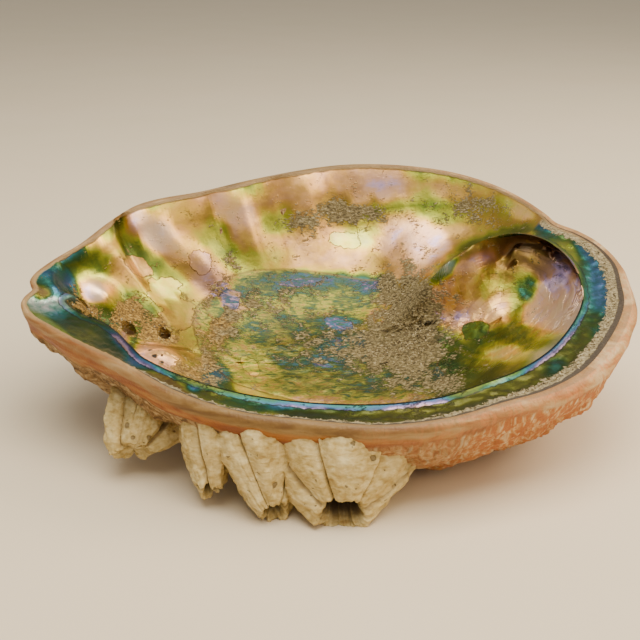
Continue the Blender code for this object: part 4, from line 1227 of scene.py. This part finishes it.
def crust_finish():
    """The outside: a smooth pale edge, an orange layer, then rough crust, streaked at the right."""
    f = Finish("crust")
    drop = f.times(f.mask("rim_gap"), -1.0)
    place = f.nodes.new("ShaderNodeSeparateXYZ")
    f.feed(place.inputs[0], f.place)
    east = place.outputs["X"]
    right = f.between(f.add(east, f.times(f.add(f.grain(20, 2), -0.5), 0.05)), 0.0, 0.055)
    left = f.between(east, -0.035, -0.065)
    band = f.grain(5, 4, f.stretched((0.30, 0.30, 1.5), (14, 0, 0)), 1.0)
    tan = f.steps(band, TAN_LAYER)
    pale = f.steps(band, PALE_LAYER)
    orange = f.steps(band, ORANGE_LAYER)
    rough = f.grain(2.4, 5, warp=0.8, rough=0.6)
    earth = f.steps(rough, CRUST_EARTH)
    strand = f.grain(1.5, 4, f.stretched((1.0, 1.0, 0.18), (0, -33, 0)), 0.5)
    flesh = f.steps(strand, CRUST_STRANDS)
    body = f.blend(right, earth, flesh)
    low = f.add(drop, f.times(f.add(f.grain(9, 3), -0.5), 4.0))
    smooth_edge = f.blend(f.math("MAXIMUM", right, f.times(left, 0.55)), tan, pale)
    layer = f.between(f.add(low, f.times(left, 1.2)), 3.6, 5.0)
    colour = f.blend(f.times(layer, f.add(1.0, f.times(right, -0.5))), smooth_edge, orange)
    edge = f.between(f.add(low, f.times(right, 3.0)), 8.6, 7.0)
    colour = f.blend(edge, body, colour)
    red = f.times(f.between(strand, 0.5, 0.40), f.times(right, 0.5))
    colour = f.blend(red, colour, (0.58, 0.20, 0.05))
    top = f.times(f.between(f.add(drop, f.times(band, 1.2)), 0.9, 0.5), 0.6)
    colour = f.blend(top, colour, (0.22, 0.14, 0.05))
    specks = f.between(f.grain(0.9, 3), 0.64, 0.7)
    colour = f.blend(f.times(specks, f.add(0.45, f.times(edge, -0.3))), colour, (0.10, 0.06, 0.025))
    relief = f.bump(f.times(rough, f.add(1.0, f.times(edge, -0.75))), 1.0)
    relief = f.bump(f.times(strand, right), 0.5, relief)
    relief = f.bump(f.grain(0.8, 3), 0.16, relief)
    f.surface(Base_Color=colour, Roughness=f.add(0.78, f.times(edge, -0.25)), Normal=relief)
    return f.material


def barnacle_finish(plate_pits):
    """Chalky plates: pale cream, dirty in the seams and pits, with painted shade darkening the inside
    of the mouth.
    """
    f = Finish("barnacle_chalk")
    groove, within = f.mask("groove"), f.mask("within")
    lines = f.grain(1.8, 4, f.stretched((0.8, 0.8, 1.7), (-25, 0, 0)), 0.5)
    tone = f.add(f.times(lines, 0.55), f.times(f.grain(6, 3), 0.5))
    colour = f.steps(tone, PLATE_CHALK)
    dirt = f.between(f.add(groove, f.times(f.add(f.grain(2.2, 4), -0.5), 0.9)), 0.35, 1.1)
    colour = f.blend(f.times(dirt, 0.75), colour, (0.26, 0.17, 0.07))
    # Painted shade: darker the deeper it lies inside the mouth.
    colour = f.blend(f.between(within, 0.15, 0.75), colour, (0.07, 0.04, 0.015))
    pits = f.between(f.grain(1.9, 2, warp=0.4), 0.70, 0.735)
    pits = f.math("MAXIMUM", pits, f.pitted(plate_pits))
    colour = f.blend(f.times(pits, 0.75), colour, (0.12, 0.075, 0.03))
    relief = f.bump(lines, 0.3)
    relief = f.bump(f.times(pits, -1.0), 0.5, relief)
    relief = f.bump(f.grain(0.7, 3), 0.12, relief)
    f.surface(Base_Color=colour, Roughness=0.92, Normal=relief)
    return f.material


def crumb_finish():
    """The loose grains of the deposits."""
    f = Finish("deposit_grain")
    tone = f.grain(1.2, 3)
    colour = f.steps(tone, LOOSE_GRAIN)
    f.surface(Base_Color=colour, Roughness=0.8, Normal=f.bump(f.grain(0.5, 2), 0.15))
    return f.material


def floor_finish():
    f = Finish("pale_floor")
    colour = f.blend(f.grain(60, 2), (0.71, 0.60, 0.42), (0.74, 0.63, 0.46))
    f.surface(Base_Color=colour, Roughness=0.85)
    return f.material


def soft_light(name, place, aim, size, power, colour):
    lamp = bpy.data.lights.new(name, "AREA")
    lamp.shape = "RECTANGLE"
    lamp.size, lamp.size_y = size
    lamp.energy = power
    lamp.color = colour
    holder = bpy.data.objects.new(name, lamp)
    bpy.context.scene.collection.objects.link(holder)
    holder.location = place
    holder.rotation_euler = (Vector(aim) - Vector(place)).to_track_quat("-Z", "Y").to_euler()


def make_stage():
    """The pale floor, the soft light and the camera at the photograph's angle."""
    bpy.ops.mesh.primitive_plane_add(size=40)
    floor = bpy.context.object
    floor.name = "floor"
    floor.data.materials.append(floor_finish())
    world = bpy.data.worlds.new("studio")
    world.use_nodes = True
    world.node_tree.nodes["Background"].inputs["Color"].default_value = (0.95, 0.92, 0.86, 1)
    world.node_tree.nodes["Background"].inputs["Strength"].default_value = 0.52
    bpy.context.scene.world = world
    soft_light("overhead", (0.03, -0.10, 0.75), (0, 0, 0.03), (0.7, 0.6), 8.5, (1.0, 0.94, 0.84))
    soft_light("window", (0.55, -0.45, 0.55), (0, 0, 0.03), (0.45, 0.45), 2.5, (1.0, 0.80, 0.55))
    soft_light("key", (0.62, 0.16, 0.55), (0, 0, 0.03), (0.4, 0.4), 4.5, (1.0, 0.88, 0.70))
    camera = bpy.data.objects.new("camera", bpy.data.cameras.new("camera"))
    bpy.context.scene.collection.objects.link(camera)
    camera.location = EYE * MM
    camera.rotation_euler = (VIEW_TILT, 0, 0)
    camera.data.sensor_width = 36
    camera.data.sensor_fit = "HORIZONTAL"
    camera.data.lens = 18 / VIEW_SPREAD
    camera.data.clip_start = 0.01
    bpy.context.scene.camera = camera


def dress(piece, node):
    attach(piece, "root")
    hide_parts(node)


shell, surface = make_shell()
drill_holes(shell)
dress(shell, "shell")

barnacles = {node: make_barnacle(node, surface) for node in BARNACLES}
plate_pits = []
for node, rows in PLATE_PITS.items():
    plate_pits += pits_on(surface_of(barnacles[node]), rows)
chalk = barnacle_finish(plate_pits)
for node, barnacle in barnacles.items():
    barnacle.data.materials.append(chalk)
    dress(barnacle, node)

crumbs = make_crumbs(shell, crumb_finish())
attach(crumbs, "root")

make_stage()
